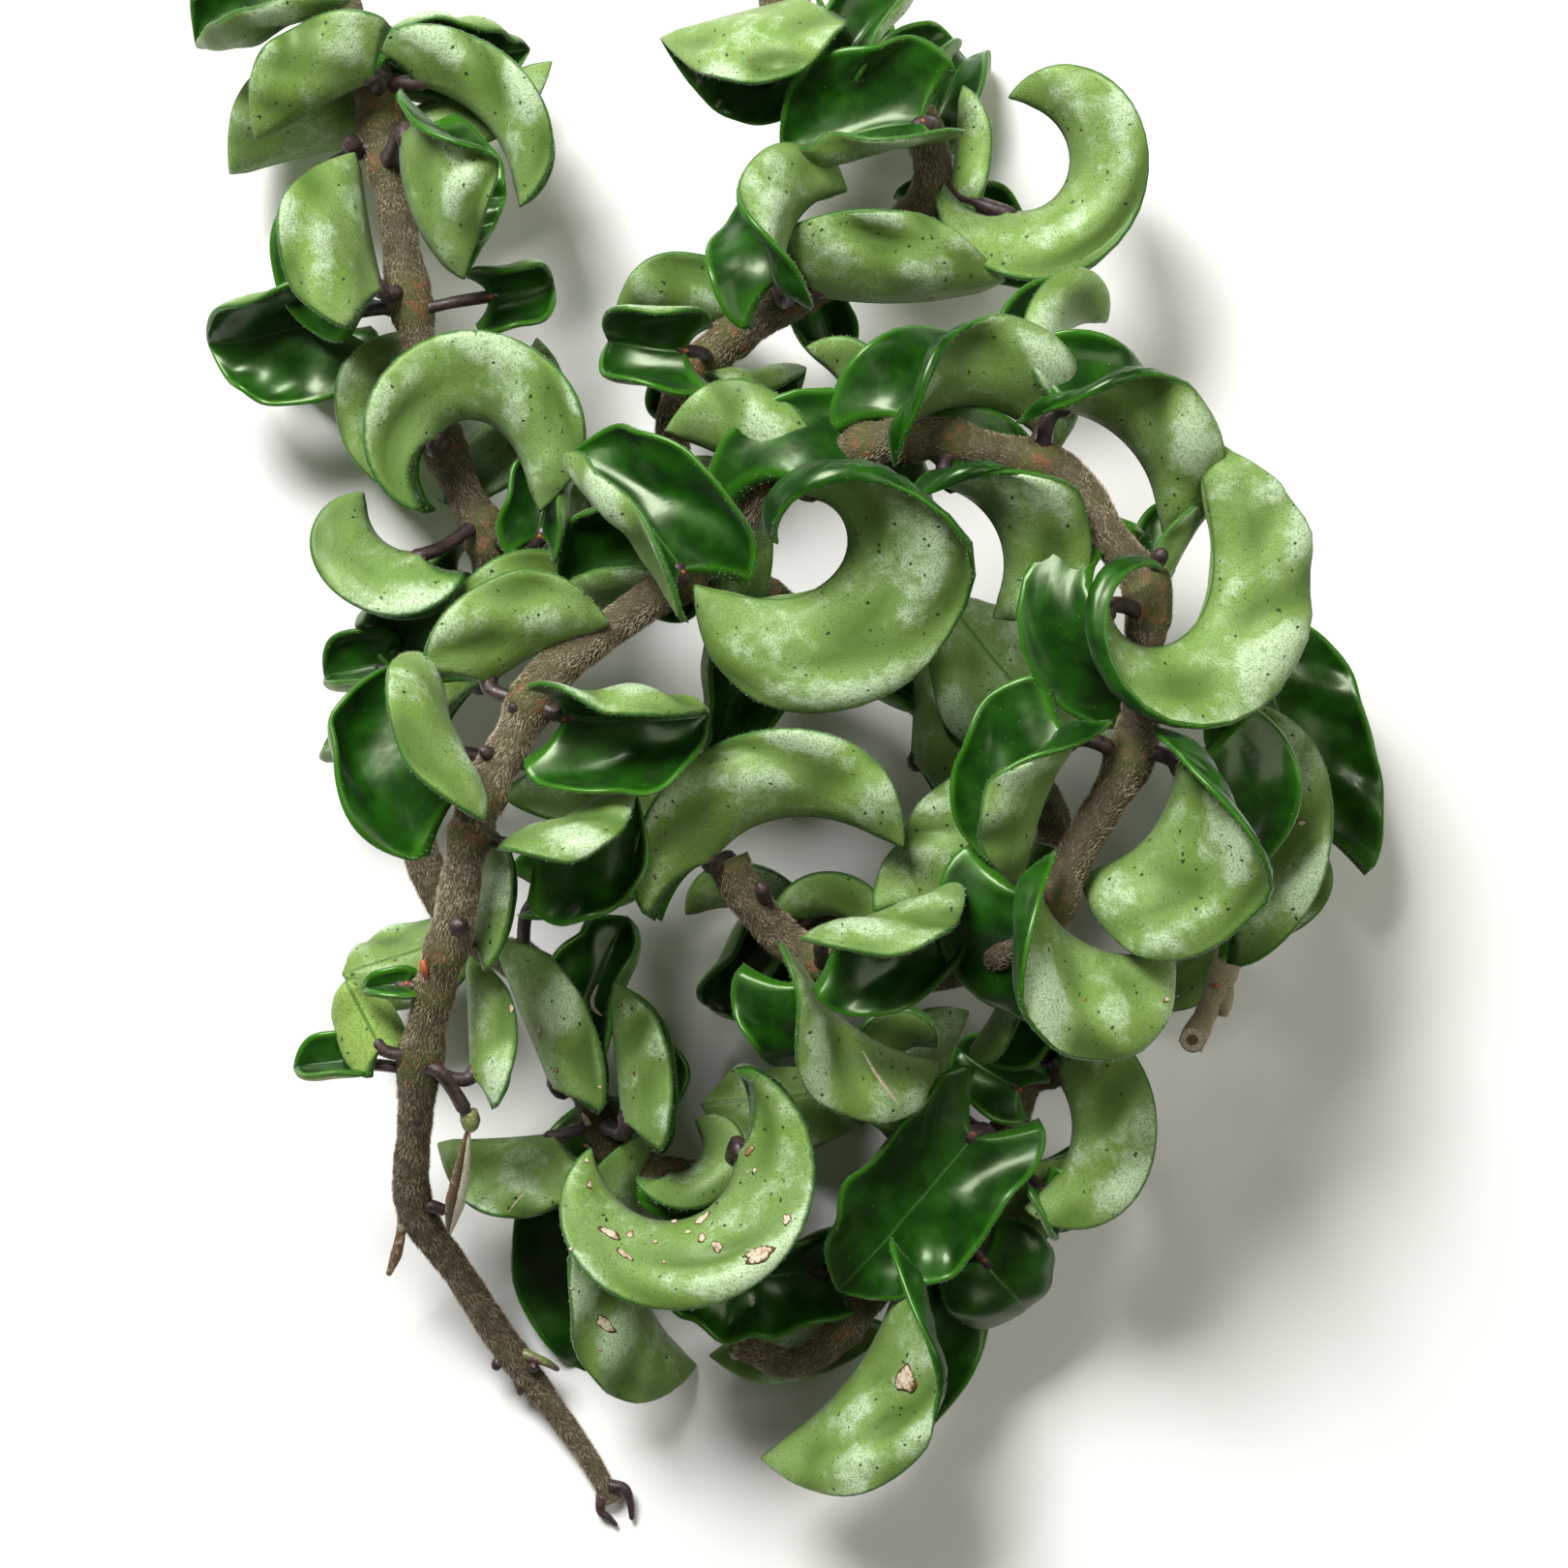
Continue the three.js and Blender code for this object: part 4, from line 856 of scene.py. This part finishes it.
def add_gland(mesh, leaf, draw):
    """Small rounded lump where the stalk meets the blade."""
    along, upper, _ = leaf_axes(leaf)
    centre = place(*leaf[:3]) + upper * 0.7 + along * 0.2
    polar = np.linspace(0, math.pi, BEAD_RINGS + 1)
    centres = centre + UP * (-np.cos(polar) * GLAND_RADIUS)[:, None]
    radii = np.maximum(np.sin(polar) * GLAND_RADIUS, GLAND_RADIUS * 0.05)
    lumps = 1 + 0.15 * draw.uniform(-1, 1, (BEAD_RINGS + 1, BEAD_SIDES))
    mesh.add(*tube_grid(centres, radii, BEAD_SIDES, lumps))


def add_stem(mesh, rows, leaves, curve, bare_rows, draw):
    """Stem with a swollen green node wherever a stalk leaves it and a flat cut face at each end."""
    count = int(curve.length / STEM_RING_STEP)
    run = np.linspace(0, curve.length, count + 1)
    centres = curve.at(run)
    node = np.zeros(count + 1)
    for leaf in leaves:
        where = curve.run[curve.nearest(place(*leaf[:3]))]
        node = np.maximum(node, np.exp(-((run - where) / NODE_LENGTH) ** 2))
    radii = curve.radii(run, rows) * (1 + NODE_SWELL * node)
    bare = np.clip((bare_rows - curve.row_share(run)) / 0.5, 0, 1)
    angles = np.linspace(0, 2 * math.pi, STEM_SIDES, endpoint=False)
    down = run[:, None]
    bark = (0.03 * np.sin(down * 0.9 + 2 * angles + draw.uniform(0, 6))
            + 0.025 * np.sin(down * 0.37 + 3 * angles + draw.uniform(0, 6))
            + 0.02 * np.sin(down * 2.3 - angles + draw.uniform(0, 6)))
    knobs = 0.09 * np.sin(down * 1.3 + draw.uniform(0, 6)) * np.sin(2 * angles + down * 0.8)
    bark = bark + knobs * bare[:, None]

    out, shares, face = np.array(CUT_FACE).T
    padding = (len(CUT_FACE), len(CUT_FACE))
    centres = np.vstack([centres[0] + unit(centres[0] - centres[1]) * out[::-1, None], centres,
                         centres[-1] + unit(centres[-1] - centres[-2]) * out[:, None]])
    radii = np.concatenate([radii[0] * shares[::-1], radii, radii[-1] * shares])
    cut = np.concatenate([face[::-1], np.zeros(count + 1), face])
    bark = np.pad(bark, (padding, (0, 0)), mode="edge")
    node = np.pad(node, padding, mode="edge")
    bare = np.pad(bare, padding, mode="edge")
    vertices, faces = tube_grid(centres, radii, STEM_SIDES, 1 + bark)
    ways = frames_along(centres)[0]

    def each(value, ends):
        return np.concatenate([np.repeat(value, STEM_SIDES), ends])

    hairy = (1 - np.minimum(1, 3 * cut)) * (1 - 0.85 * node) * (1 - bare)
    mesh.add(vertices, faces, green=each(node, [0, 0]), cut=each(cut, [1, 1]),
             bare=each(bare, [bare[0], bare[-1]]), hairy=each(hairy, [0, 0]),
             flow=np.vstack([np.repeat(ways, STEM_SIDES, 0), ways[:1], ways[-1:]]))


# What grows on a piece: hairs per square metre, their length and radius in metres, how loosely
# they stand, and how much they lie along the stem
STEM_HAIRS = {"Density": 10.0 / MM ** 2, "Length": 0.7 * MM, "Radius": 0.042 * MM,
              "Lean": 0.7, "Sweep": 2.0}
MARGIN_HAIRS = {"Density": 4.0 / MM ** 2, "Length": 0.36 * MM, "Radius": 0.018 * MM,
                "Lean": 0.7, "Sweep": 0.0}
MARGIN_HAIR_SPAN = 0.5           # how far from the margin they grow, mm


def hair_tree(name, material):
    """Geometry Nodes tree that scatters small leaning hairs over a mesh."""
    tree = bpy.data.node_groups.new(name, "GeometryNodeTree")
    tree.interface.new_socket("Geometry", in_out="INPUT", socket_type="NodeSocketGeometry")
    for label in STEM_HAIRS:
        tree.interface.new_socket(label, in_out="INPUT", socket_type="NodeSocketFloat")
    tree.interface.new_socket("Seed", in_out="INPUT", socket_type="NodeSocketInt")
    tree.interface.new_socket("Geometry", in_out="OUTPUT", socket_type="NodeSocketGeometry")
    given = tree.nodes.new("NodeGroupInput").outputs
    result = tree.nodes.new("NodeGroupOutput")
    nodes = Nodes(tree)

    where = nodes.add("GeometryNodeInputNamedAttribute", "Attribute", {"Name": "hairy"},
                      data_type="FLOAT")
    scatter = nodes.add("GeometryNodeDistributePointsOnFaces", inputs={
        "Mesh": given["Geometry"], "Density": nodes.math("MULTIPLY", given["Density"], where),
        "Seed": given["Seed"]}).node.outputs
    loose = nodes.add("FunctionNodeRandomValue", 0, {
        0: (-1, -1, -1), 1: (1, 1, 1), "Seed": given["Seed"]}, data_type="FLOAT_VECTOR")
    loose = nodes.vector("SCALE", {0: loose, "Scale": given["Lean"]})
    flow = nodes.add("GeometryNodeInputNamedAttribute", "Attribute", {"Name": "flow"},
                     data_type="FLOAT_VECTOR")
    swept = nodes.vector("SCALE", {0: flow, "Scale": given["Sweep"]})
    way = nodes.vector("ADD", {0: scatter["Normal"], 1: nodes.vector("ADD", {0: loose, 1: swept})})
    turn = nodes.add("FunctionNodeAlignRotationToVector", inputs={"Vector": way}, axis="Z")
    size = nodes.add("FunctionNodeRandomValue", 1, {2: 0.55, 3: 1.25, "Seed": given["Seed"]},
                     data_type="FLOAT")
    scale = nodes.add("ShaderNodeCombineXYZ", inputs={
        "X": given["Radius"], "Y": given["Radius"],
        "Z": nodes.math("MULTIPLY", given["Length"], size)})
    hair = nodes.add("GeometryNodeMeshCone", "Mesh", {
        "Vertices": 3, "Radius Top": 0.0, "Radius Bottom": 1.0, "Depth": 1.0}, fill_type="NONE")
    copies = nodes.add("GeometryNodeInstanceOnPoints", inputs={
        "Points": scatter["Points"], "Instance": hair, "Rotation": turn, "Scale": scale})
    real = nodes.add("GeometryNodeRealizeInstances", inputs={0: copies})
    paint = nodes.add("GeometryNodeSetMaterial", inputs={"Geometry": real, "Material": material})
    nodes.plug(paint, result.inputs[0])
    return tree


def hairs_on(piece, name, tree, values):
    """Hairs of a piece as a plain mesh of their own."""
    carrier = piece.copy()
    bpy.context.scene.collection.objects.link(carrier)
    modifier = carrier.modifiers.new("hairs", "NODES")
    modifier.node_group = tree
    for item in tree.interface.items_tree:
        if item.in_out == "INPUT" and item.name in values:
            modifier[item.identifier] = values[item.name]
    bpy.context.view_layer.update()
    grown = carrier.evaluated_get(bpy.context.evaluated_depsgraph_get())
    mesh = bpy.data.meshes.new_from_object(grown)
    mesh.name = name
    bpy.data.objects.remove(carrier)
    return linked(name, mesh)


def keep(piece, slot, *nodes):
    """Makes a finished piece ride with the plant and hides the parts that it stands for; its slot
    is not used.
    """
    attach(piece, "root")
    if nodes:
        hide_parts(*nodes)


DETAIL_SEED = 77
DRAPE_REACH = 2.0                # how far from a scar's plane its leaf is looked for, mm
SCAR_RINGS = [0.3, 0.55, 0.7, 0.85, 1.0]               # shares of a scar's radius
SCAR_SIDES = 18
SCAR_HEIGHT = 0.13               # mm above the leaf
SCAR_DEPTH = 0.22                # mm into it
STREAK_STEP = 4                  # picture units
STREAK_JUMP = 2.5                # a change of height, in mm, at which a streak ends


class Sight:
    """Finds what the eye meets at a spot of the picture, and the surface around that spot."""

    def __init__(self, pieces):
        graph = bpy.context.evaluated_depsgraph_get()
        self.trees = [BVHTree.FromObject(piece, graph) for piece in pieces]

    def first_hit(self, start, way, reach):
        nearest = None
        for tree in self.trees:
            spot, normal, _, gap = tree.ray_cast(Vector(start * MM), Vector(way), reach * MM)
            if spot is not None and (nearest is None or gap < nearest[2]):
                nearest = (np.array(spot) / MM, np.array(normal), gap)
        return nearest

    def seen(self, unit_x, unit_y):
        eye = np.array([0.0, 0.0, EYE_HEIGHT]) - CENTRE
        way = place(unit_x, unit_y, 0.0) - eye
        hit = self.first_hit(eye, unit(way), EYE_HEIGHT * 1.1)
        return None if hit is None else hit[:2]

    def draped(self, spot, normal):
        """A spot near the surface moved onto it along the given normal."""
        hit = self.first_hit(spot + normal * DRAPE_REACH, -normal, 2 * DRAPE_REACH)
        return (spot, normal) if hit is None else hit[:2]


# Corky scars: [picture x, picture y, length, width, turn, how brown], lengths in picture units
SCARS = [
    [606, 1157, 21, 10, -62, 0.3], [589, 1164, 8, 6, 20, 0.9], [606, 1184, 9, 5, -20, 0.8],
    [606, 1199, 5, 5, 0, 0.4], [609, 1224, 8, 9, 0, 0.2], [630, 1274, 23, 10, -28, 0.3],
    [651, 1275, 7, 9, 0, 0.5], [645, 1296, 19, 7, -42, 0.45], [697, 1262, 7, 7, 0, 0.3],
    [726, 1259, 19, 11, 80, 0.15], [711, 1273, 7, 5, 0, 0.1], [725, 1279, 10, 9, 0, 0.1],
    [741, 1288, 12, 11, 0, 0.3], [677, 1283, 5, 4, 0, 0.4], [686, 1304, 4, 4, 0, 0.6],
    [784, 1296, 38, 17, 12, 0.35], [813, 1260, 10, 13, 20, 0.2], [774, 1189, 14, 8, 42, 0.8],
    [780, 1209, 6, 4, 10, 0.2], [773, 1211, 4, 3, 0, 0.2],
    [625, 1368, 29, 12, -24, 0.15], [935, 1425, 24, 34, 20, 0.4], [540, 967, 13, 6, -20, 0.3],
    [531, 1033, 5, 4, 0, 0.5], [528, 1042, 5, 9, 10, 0.5], [575, 1106, 6, 5, 0, 0.9],
    [620, 1123, 5, 4, 45, 0.3], [1205, 1033, 8, 6, 20, 0.4], [1216, 1030, 6, 4, 25, 0.4],
    [590, 1290, 5, 4, 0, 0.2], [587, 1301, 4, 4, 0, 0.2], [590, 1331, 5, 4, 0, 0.2],
    [830, 1450, 7, 6, 0, 0.3], [620, 1394, 5, 4, 0, 0.7], [1345, 850, 9, 7, 0, 0.1],
]

# Dry streaks: picture spots along each, and its width
STREAKS = [
    ([(618, 1017), (612, 1034), (614, 1043), (622, 1050)], 5.5),
    ([(516, 977), (526, 996), (528, 1009), (533, 1020)], 6.5),
    ([(558, 1060), (557, 1072)], 4.5),
    ([(891, 1086), (905, 1110), (930, 1144)], 5.0),
    ([(551, 1223), (535, 1240), (522, 1256)], 2.5),
    ([(770, 1291), (784, 1293), (801, 1290)], 4.0),
]

# Small stubs, hooks and buds by their finish: rows of [picture x, picture y, height, radius]
SPRIGS = {
    "stalk": [
        [[556, 712, 53, 1.1], [549, 712, 56, 1.0], [543, 711, 57.5, 0.8]],
        [[535, 742, 54, 1.1], [531, 732, 57, 1.0], [529, 726, 58, 0.7]],
        [[515, 782, 55, 1.1], [502, 777, 58, 1.0], [496, 774, 59, 0.8]],
        [[790, 930, 41, 1.2], [787, 918, 45, 1.1], [784, 913, 46, 0.9]],
        [[1188, 590, 57, 1.3], [1199, 574, 60, 1.2], [1203, 568, 61, 1.0]],
        [[466, 958, 52, 1.6], [475, 956, 55, 1.5], [478, 955, 56, 1.45]],
        [[433, 1140, 36, 1.1], [430, 1166, 35.5, 0.8]],
        [[432, 1100, 42, 1.3], [452, 1106, 43.5, 1.05], [468, 1126, 42, 1.0],
         [482, 1150, 40, 1.15]],
        [[430, 1245, 21, 1.4], [446, 1246, 23, 1.0], [462, 1252, 22, 0.9]],
        [[392, 150, 26, 1.3], [370, 156, 26, 1.0], [345, 168, 24, 0.9], [335, 176, 22, 0.8]],
        [[370, 160, 26, 1.2], [362, 147, 29, 1.5], [361, 145, 30, 1.4]],
        [[516, 1402, 6.5, 0.7], [513, 1411, 6.8, 0.9], [516, 1415, 6.4, 0.6]],
        [[533, 1412, 5.6, 1.3], [537, 1432, 4.4, 0.8], [537, 1442, 3.6, 0.35]],
        [[548, 1412, 6.6, 0.9], [552, 1413, 8.2, 0.8], [553, 1414, 8.8, 0.6]],
        [[630, 1535, 2.2, 1.1], [645, 1538, 2.4, 0.85], [651, 1552, 1.8, 0.6],
         [653, 1571, 1.0, 0.4]],
        [[622, 1545, 1.6, 1.0], [621, 1562, 1.5, 0.7], [629, 1568, 1.2, 0.5],
         [638, 1577, 0.8, 0.35]],
    ],
    "green": [
        [[536, 1396, 6.5, 1.0], [550, 1402, 7.4, 0.8], [565, 1408, 7.2, 0.65],
         [578, 1416, 6.4, 0.35]],
        [[484, 1148, 39.5, 1.3], [486, 1158, 39, 1.5], [485, 1168, 37.5, 0.9]],
        [[764, 1392, 13, 1.5], [762, 1395, 13, 1.7], [768, 1399, 12, 1.2]],
    ],
    "orange": [
        [[437, 992, 51.5, 0.5], [438, 1001, 51.5, 0.62], [441, 1011, 50, 0.4]],
        [[1256, 1018, 25.2, 0.5], [1257, 1019, 25.6, 0.4]],
    ],
    "withered": [
        [[417, 1252, 21, 0.9], [414, 1275, 19.5, 0.75], [409, 1297, 17, 0.9],
         [401, 1318, 14.5, 0.4]],
    ],
}

# Woody stubs with a cut face
FLAT_STUBS = [
    [[1276, 962, 23, 1.9], [1264, 968, 23.6, 1.5], [1255, 972, 24, 1.5]],
    [[1275, 958, 23, 1.8], [1290, 966, 23.4, 1.4], [1296, 980, 23, 1.1]],
    [[1262, 1016, 23, 1.9], [1265, 1034, 22.4, 1.3], [1264, 1049, 22, 0.8]],
    [[1242, 1055, 21.6, 1.75], [1236, 1067, 22.3, 1.9], [1232, 1074, 24.6, 2.05]],
]

# Dry folded leaf: rows as above, its section as shares of the radius, and how brown that is
WITHERED_LEAF = [[484, 1166, 37.5, 0.35], [481, 1185, 36, 0.75], [476, 1215, 32, 1.35],
                 [470, 1243, 28, 1.5], [466, 1262, 24, 0.9], [464, 1275, 22, 0.3]]
WITHERED_SECTION = [(-1.0, 0.0), (-0.75, 0.42), (-0.4, 0.55), (-0.08, 0.35), (0.0, 0.05),
                    (0.08, 0.4), (0.45, 0.6), (0.8, 0.4), (1.0, 0.0), (0.7, -0.45), (0.0, -0.6),
                    (-0.7, -0.45)]
WITHERED_BROWN = [0.1, 0.05, 0.0, 0.3, 1.0, 1.0, 0.85, 0.7, 0.6, 0.8, 0.6, 0.3]


def add_scar(mesh, sight, scar, draw):
    """Thin corky patch that lies on the surface seen at a spot of the picture."""
    unit_x, unit_y, long, wide, turn, brown = scar
    seen = sight.seen(unit_x, unit_y)
    if seen is None:
        return
    centre, normal = seen
    way = np.array([math.cos(math.radians(turn)), math.sin(math.radians(turn)), 0.0])
    first = way - normal * np.dot(way, normal)
    first /= max(np.linalg.norm(first), 1e-6)
    second = np.cross(normal, first)
    phase = draw.uniform(0, 6, 3)
    angles = np.linspace(0, 2 * math.pi, SCAR_SIDES, endpoint=False)
    outline = (1 + 0.16 * np.sin(2 * angles + phase[0]) + 0.12 * np.sin(3 * angles + phase[1])
               + 0.08 * np.sin(5 * angles + phase[2]))
    top = []
    low = []
    for share in SCAR_RINGS:
        for angle, reach in zip(angles, outline):
            radius = share * reach / UNITS_PER_MM / 2
            spot = (centre + first * (radius * long * math.cos(angle))
                    + second * (radius * wide * math.sin(angle)))
            on, up = sight.draped(spot, normal)
            top.append(on + up * (SCAR_HEIGHT * (1 - share ** 6) + 0.03))
            low.append(on - up * SCAR_DEPTH)
    faces = []
    outer = len(top) - SCAR_SIDES
    for shift, step in ((0, 1), (len(top), -1)):
        for ring in range(shift, shift + outer, SCAR_SIDES):
            for side in range(SCAR_SIDES):
                after = (side + 1) % SCAR_SIDES
                faces.append([ring + side, ring + SCAR_SIDES + side,
                              ring + SCAR_SIDES + after, ring + after][::step])
        faces.append([shift + side for side in range(SCAR_SIDES)][::step])
    for side in range(SCAR_SIDES):
        after = (side + 1) % SCAR_SIDES
        faces.append([outer + after, outer + side,
                      outer + len(top) + side, outer + len(top) + after])
    rim = np.repeat(SCAR_RINGS, SCAR_SIDES)
    mesh.add(np.array(top + low), faces, rim=np.concatenate([rim, rim]), brown=brown)


def add_streak(mesh, sight, spots, width):
    """Thin raised line that lies on the surface along spots of the picture."""
    path = Curve([[x, y, 0.0] for x, y in spots])
    count = max(4, int(path.length / STREAK_STEP))
    centres = []
    for unit_x, unit_y, _ in path.at(np.linspace(0, path.length, count + 1)):
        seen = sight.seen(unit_x, unit_y)
        if seen is None:
            continue
        if centres and abs(seen[0][2] - centres[-1][2]) > STREAK_JUMP:
            break
        centres.append(seen[0])
    if len(centres) < 4:
        return
    centres = np.array(centres)
    t = np.linspace(0, 1, len(centres))
    slim = np.maximum(0.25, np.sin(math.pi * (0.06 + 0.88 * t)) ** 0.6)
    radii = width / UNITS_PER_MM / 2 * slim
    mesh.add(*tube_grid(centres - UP * 0.12, radii, 8), rim=0.35, brown=0.25)


def along_spots(spots, step, least):
    """Centres through the spots, the radii there, and how far each centre is from the end."""
    curve = Curve([place(*spot[:3]) for spot in spots])
    run = np.linspace(0, curve.length, max(least, int(curve.length / step)) + 1)
    return curve.at(run), curve.radii(run, spots), curve.length - run


def add_sprig(mesh, spots, **values):
    """Small tapering stub, hook or bud."""
    centres, radii, left = along_spots(spots, 0.35, 5)
    tip = np.sqrt(np.clip(left / (0.8 * radii), 0, 1))
    mesh.add(*tube_grid(centres, np.maximum(radii * tip, 0.08), 12), **values)


def add_flat_stub(mesh, spots, sides=16):
    """Short woody stub with a flat cut face, painted like the cut end of a stem."""
    centres, radii, _ = along_spots(spots, 0.4, 4)
    out, shares, face = np.array(STUB_FACE).T
    cut = np.concatenate([np.zeros(len(centres)), face])
    way = unit(centres[-1] - centres[-2])
    centres = np.vstack([centres, centres[-1] + way * out[:, None]])
    radii = np.concatenate([radii, radii[-1] * shares])
    angles = np.linspace(0, 2 * math.pi, sides, endpoint=False)
    lumps = 1 + 0.05 * np.sin(np.linspace(0, 6, len(centres))[:, None] + 2 * angles)
    mesh.add(*tube_grid(centres, radii, sides, lumps), green=0.0, bare=1.0,
             cut=np.concatenate([np.repeat(cut, sides), [0, 1]]))


def add_withered(mesh):
    """Folded dry leaf: a slim blade whose halves meet along a crease."""
    centres, half, _ = along_spots(WITHERED_LEAF, 1.0, 24)
    across = np.cross(frames_along(centres)[0], UP)
    across /= np.linalg.norm(across, axis=1, keepdims=True)
    grid = np.array([[centre + side * (a * reach) + UP * (b * reach) for a, b in WITHERED_SECTION]
                     for centre, side, reach in zip(centres, across, half)])
    sides = len(WITHERED_SECTION)
    last = (len(centres) - 1) * sides
    faces = []
    for row in range(0, last, sides):
        for side in range(sides):
            after = (side + 1) % sides
            faces.append([row + side, row + sides + side, row + sides + after, row + after])
    faces.append(list(range(sides)))
    faces.append([last + side for side in range(sides)][::-1])
    mesh.add(grid.reshape(-1, 3), faces, rim=0.3, brown=np.tile(WITHERED_BROWN, len(centres)))


def add_details(pieces):
    """Scars, dry streaks, buds, hooks and stubs, set on the pieces that carry them."""
    draw = np.random.RandomState(DETAIL_SEED)
    sight = Sight(pieces)
    scars = Mesh()
    for scar in SCARS:
        add_scar(scars, sight, scar, draw)
    for spots, width in STREAKS:
        add_streak(scars, sight, spots, width)
    keep(scars.to_object("leaf_scars", CORK), "foliage")
    for finish, material in (("stalk", STALK_SKIN), ("green", BUD_SKIN), ("orange", GLAND)):
        sprigs = Mesh()
        for spots in SPRIGS[finish]:
            add_sprig(sprigs, spots)
        keep(sprigs.to_object("sprigs_" + finish, material), "stem")
    withered = Mesh()
    for spots in SPRIGS["withered"]:
        add_sprig(withered, spots, rim=0.3, brown=0.7)
    add_withered(withered)
    keep(withered.to_object("sprigs_withered", DRY_LEAF), "foliage")
    stubs = Mesh()
    for spots in FLAT_STUBS:
        add_flat_stub(stubs, spots)
    keep(stubs.to_object("cut_stubs", STEM_BARK), "stem")


LEAF_WAX = leaf_material()
STEM_BARK = bark_material()
STALK_SKIN = petiole_material()
GLAND = gland_material()
BUD_SKIN = bud_material()
CORK = cork_material("leaf_cork", CORK_PALE, CORK_BROWN, CORK_RIM, 0.7)
DRY_LEAF = cork_material("dry_leaf", DRY_PALE, DRY_BROWN, DRY_EDGE, 0.9)
STEM_HAIR = hair_material("stem_hair", STEM_HAIR_PALE, STEM_HAIR_BROWN)
LEAF_HAIR = hair_material("leaf_hair", LEAF_HAIR_PALE, LEAF_HAIR_DULL)
STEM_HAIR_TREE = hair_tree("stem_hairs", STEM_HAIR)
LEAF_HAIR_TREE = hair_tree("margin_hairs", LEAF_HAIR)


def build_vine(name, seed):
    """Stem, stalks, glands, leaves and hairs of one vine; returns its stem and its leaves."""
    rows = STEMS[name]
    leaves = [Leaf(*row) for row in LEAVES[name]]
    curve = Curve([place(*row[:3]) for row in rows])
    draw = np.random.RandomState(seed)

    stem = Mesh()
    add_stem(stem, rows, leaves, curve, BARE_ROWS.get(name, -1.0), draw)
    stem_piece = stem.to_object("stem_" + name, STEM_BARK)
    hairs = dict(STEM_HAIRS, Seed=seed)
    keep(hairs_on(stem_piece, "stem_hairs_" + name, STEM_HAIR_TREE, hairs), "stem")
    keep(stem_piece, "stem", "vine_" + name)

    stalks = Mesh()
    glands = Mesh()
    for leaf in leaves:
        add_stalk(stalks, leaf, curve, draw)
        add_gland(glands, leaf, draw)
    keep(stalks.to_object("stalks_" + name, STALK_SKIN), "stem")
    keep(glands.to_object("glands_" + name, GLAND), "foliage")

    blades = Mesh()
    for number, leaf in enumerate(leaves):
        add_leaf(blades, leaf, number + 100 * seed, YOUNG.get(name, {}).get(number, 0.0))
    leaf_piece = blades.to_object("leaves_" + name, LEAF_WAX)
    margin = np.zeros(len(leaf_piece.data.vertices), np.float32)
    leaf_piece.data.attributes["margin"].data.foreach_get("value", margin)
    hairy = leaf_piece.data.attributes.new("hairy", "FLOAT", "POINT")
    hairy.data.foreach_set("value", np.clip(1 - margin / MARGIN_HAIR_SPAN, 0, 1))
    hairs = dict(MARGIN_HAIRS, Seed=seed + 7)
    keep(hairs_on(leaf_piece, "leaf_hairs_" + name, LEAF_HAIR_TREE, hairs), "foliage")
    keep(leaf_piece, "foliage", "vine_" + name)
    return [stem_piece, leaf_piece]


CARRIERS = []
for number, name in enumerate(STEMS):
    CARRIERS += build_vine(name, number + 1)
add_details(CARRIERS)

# Floor, lights and camera
HALF_FLOOR = 1.5
floor_mesh = bpy.data.meshes.new("floor")
floor_mesh.from_pydata([(-HALF_FLOOR, -HALF_FLOOR, 0), (HALF_FLOOR, -HALF_FLOOR, 0),
                        (HALF_FLOOR, HALF_FLOOR, 0), (-HALF_FLOOR, HALF_FLOOR, 0)],
                       [], [(0, 1, 2, 3)])
floor_mesh.materials.append(Finish("floor_paper", Base_Color=(0.9, 0.9, 0.9), Roughness=0.9,
                                   Specular_IOR_Level=0.1).material)
floor = linked("floor", floor_mesh)

LIGHT_AIM = np.array([0.0, 0.0, 0.02])


def add_light(name, spot, side, power, tint):
    """Square soft light at a spot in metres, turned to the plant."""
    light = bpy.data.lights.new(name, "AREA")
    light.shape = "RECTANGLE"
    light.size = light.size_y = side
    light.energy = power
    light.color = tint
    lamp = linked(name, light)
    lamp.location = spot
    lamp.rotation_euler = Vector(LIGHT_AIM - spot).to_track_quat("-Z", "Y").to_euler()


add_light("key_left", (-0.32, 0.62, 0.78), 0.41, 18.5, (1.0, 0.99, 0.97))
add_light("fill_right", (0.9, 0.1, 1.2), 0.9, 7, (1.0, 0.98, 0.88))
scene = bpy.context.scene
scene.world = bpy.data.worlds.new("soft_room")
scene.world.use_nodes = True
sky = scene.world.node_tree.nodes["Background"].inputs
sky["Color"].default_value = (1.0, 0.98, 0.82, 1.0)
sky["Strength"].default_value = 0.1
scene.view_settings.view_transform = "Standard"

camera_data = bpy.data.cameras.new("camera")
camera_data.lens_unit = "FOV"
camera_data.angle = 2 * math.atan(FRAME_HALF / UNITS_PER_MM / (EYE_HEIGHT - REFERENCE_HEIGHT))
scene.camera = linked("camera", camera_data)
scene.camera.location = (-CENTRE[0] * MM, -CENTRE[1] * MM, EYE_HEIGHT * MM)
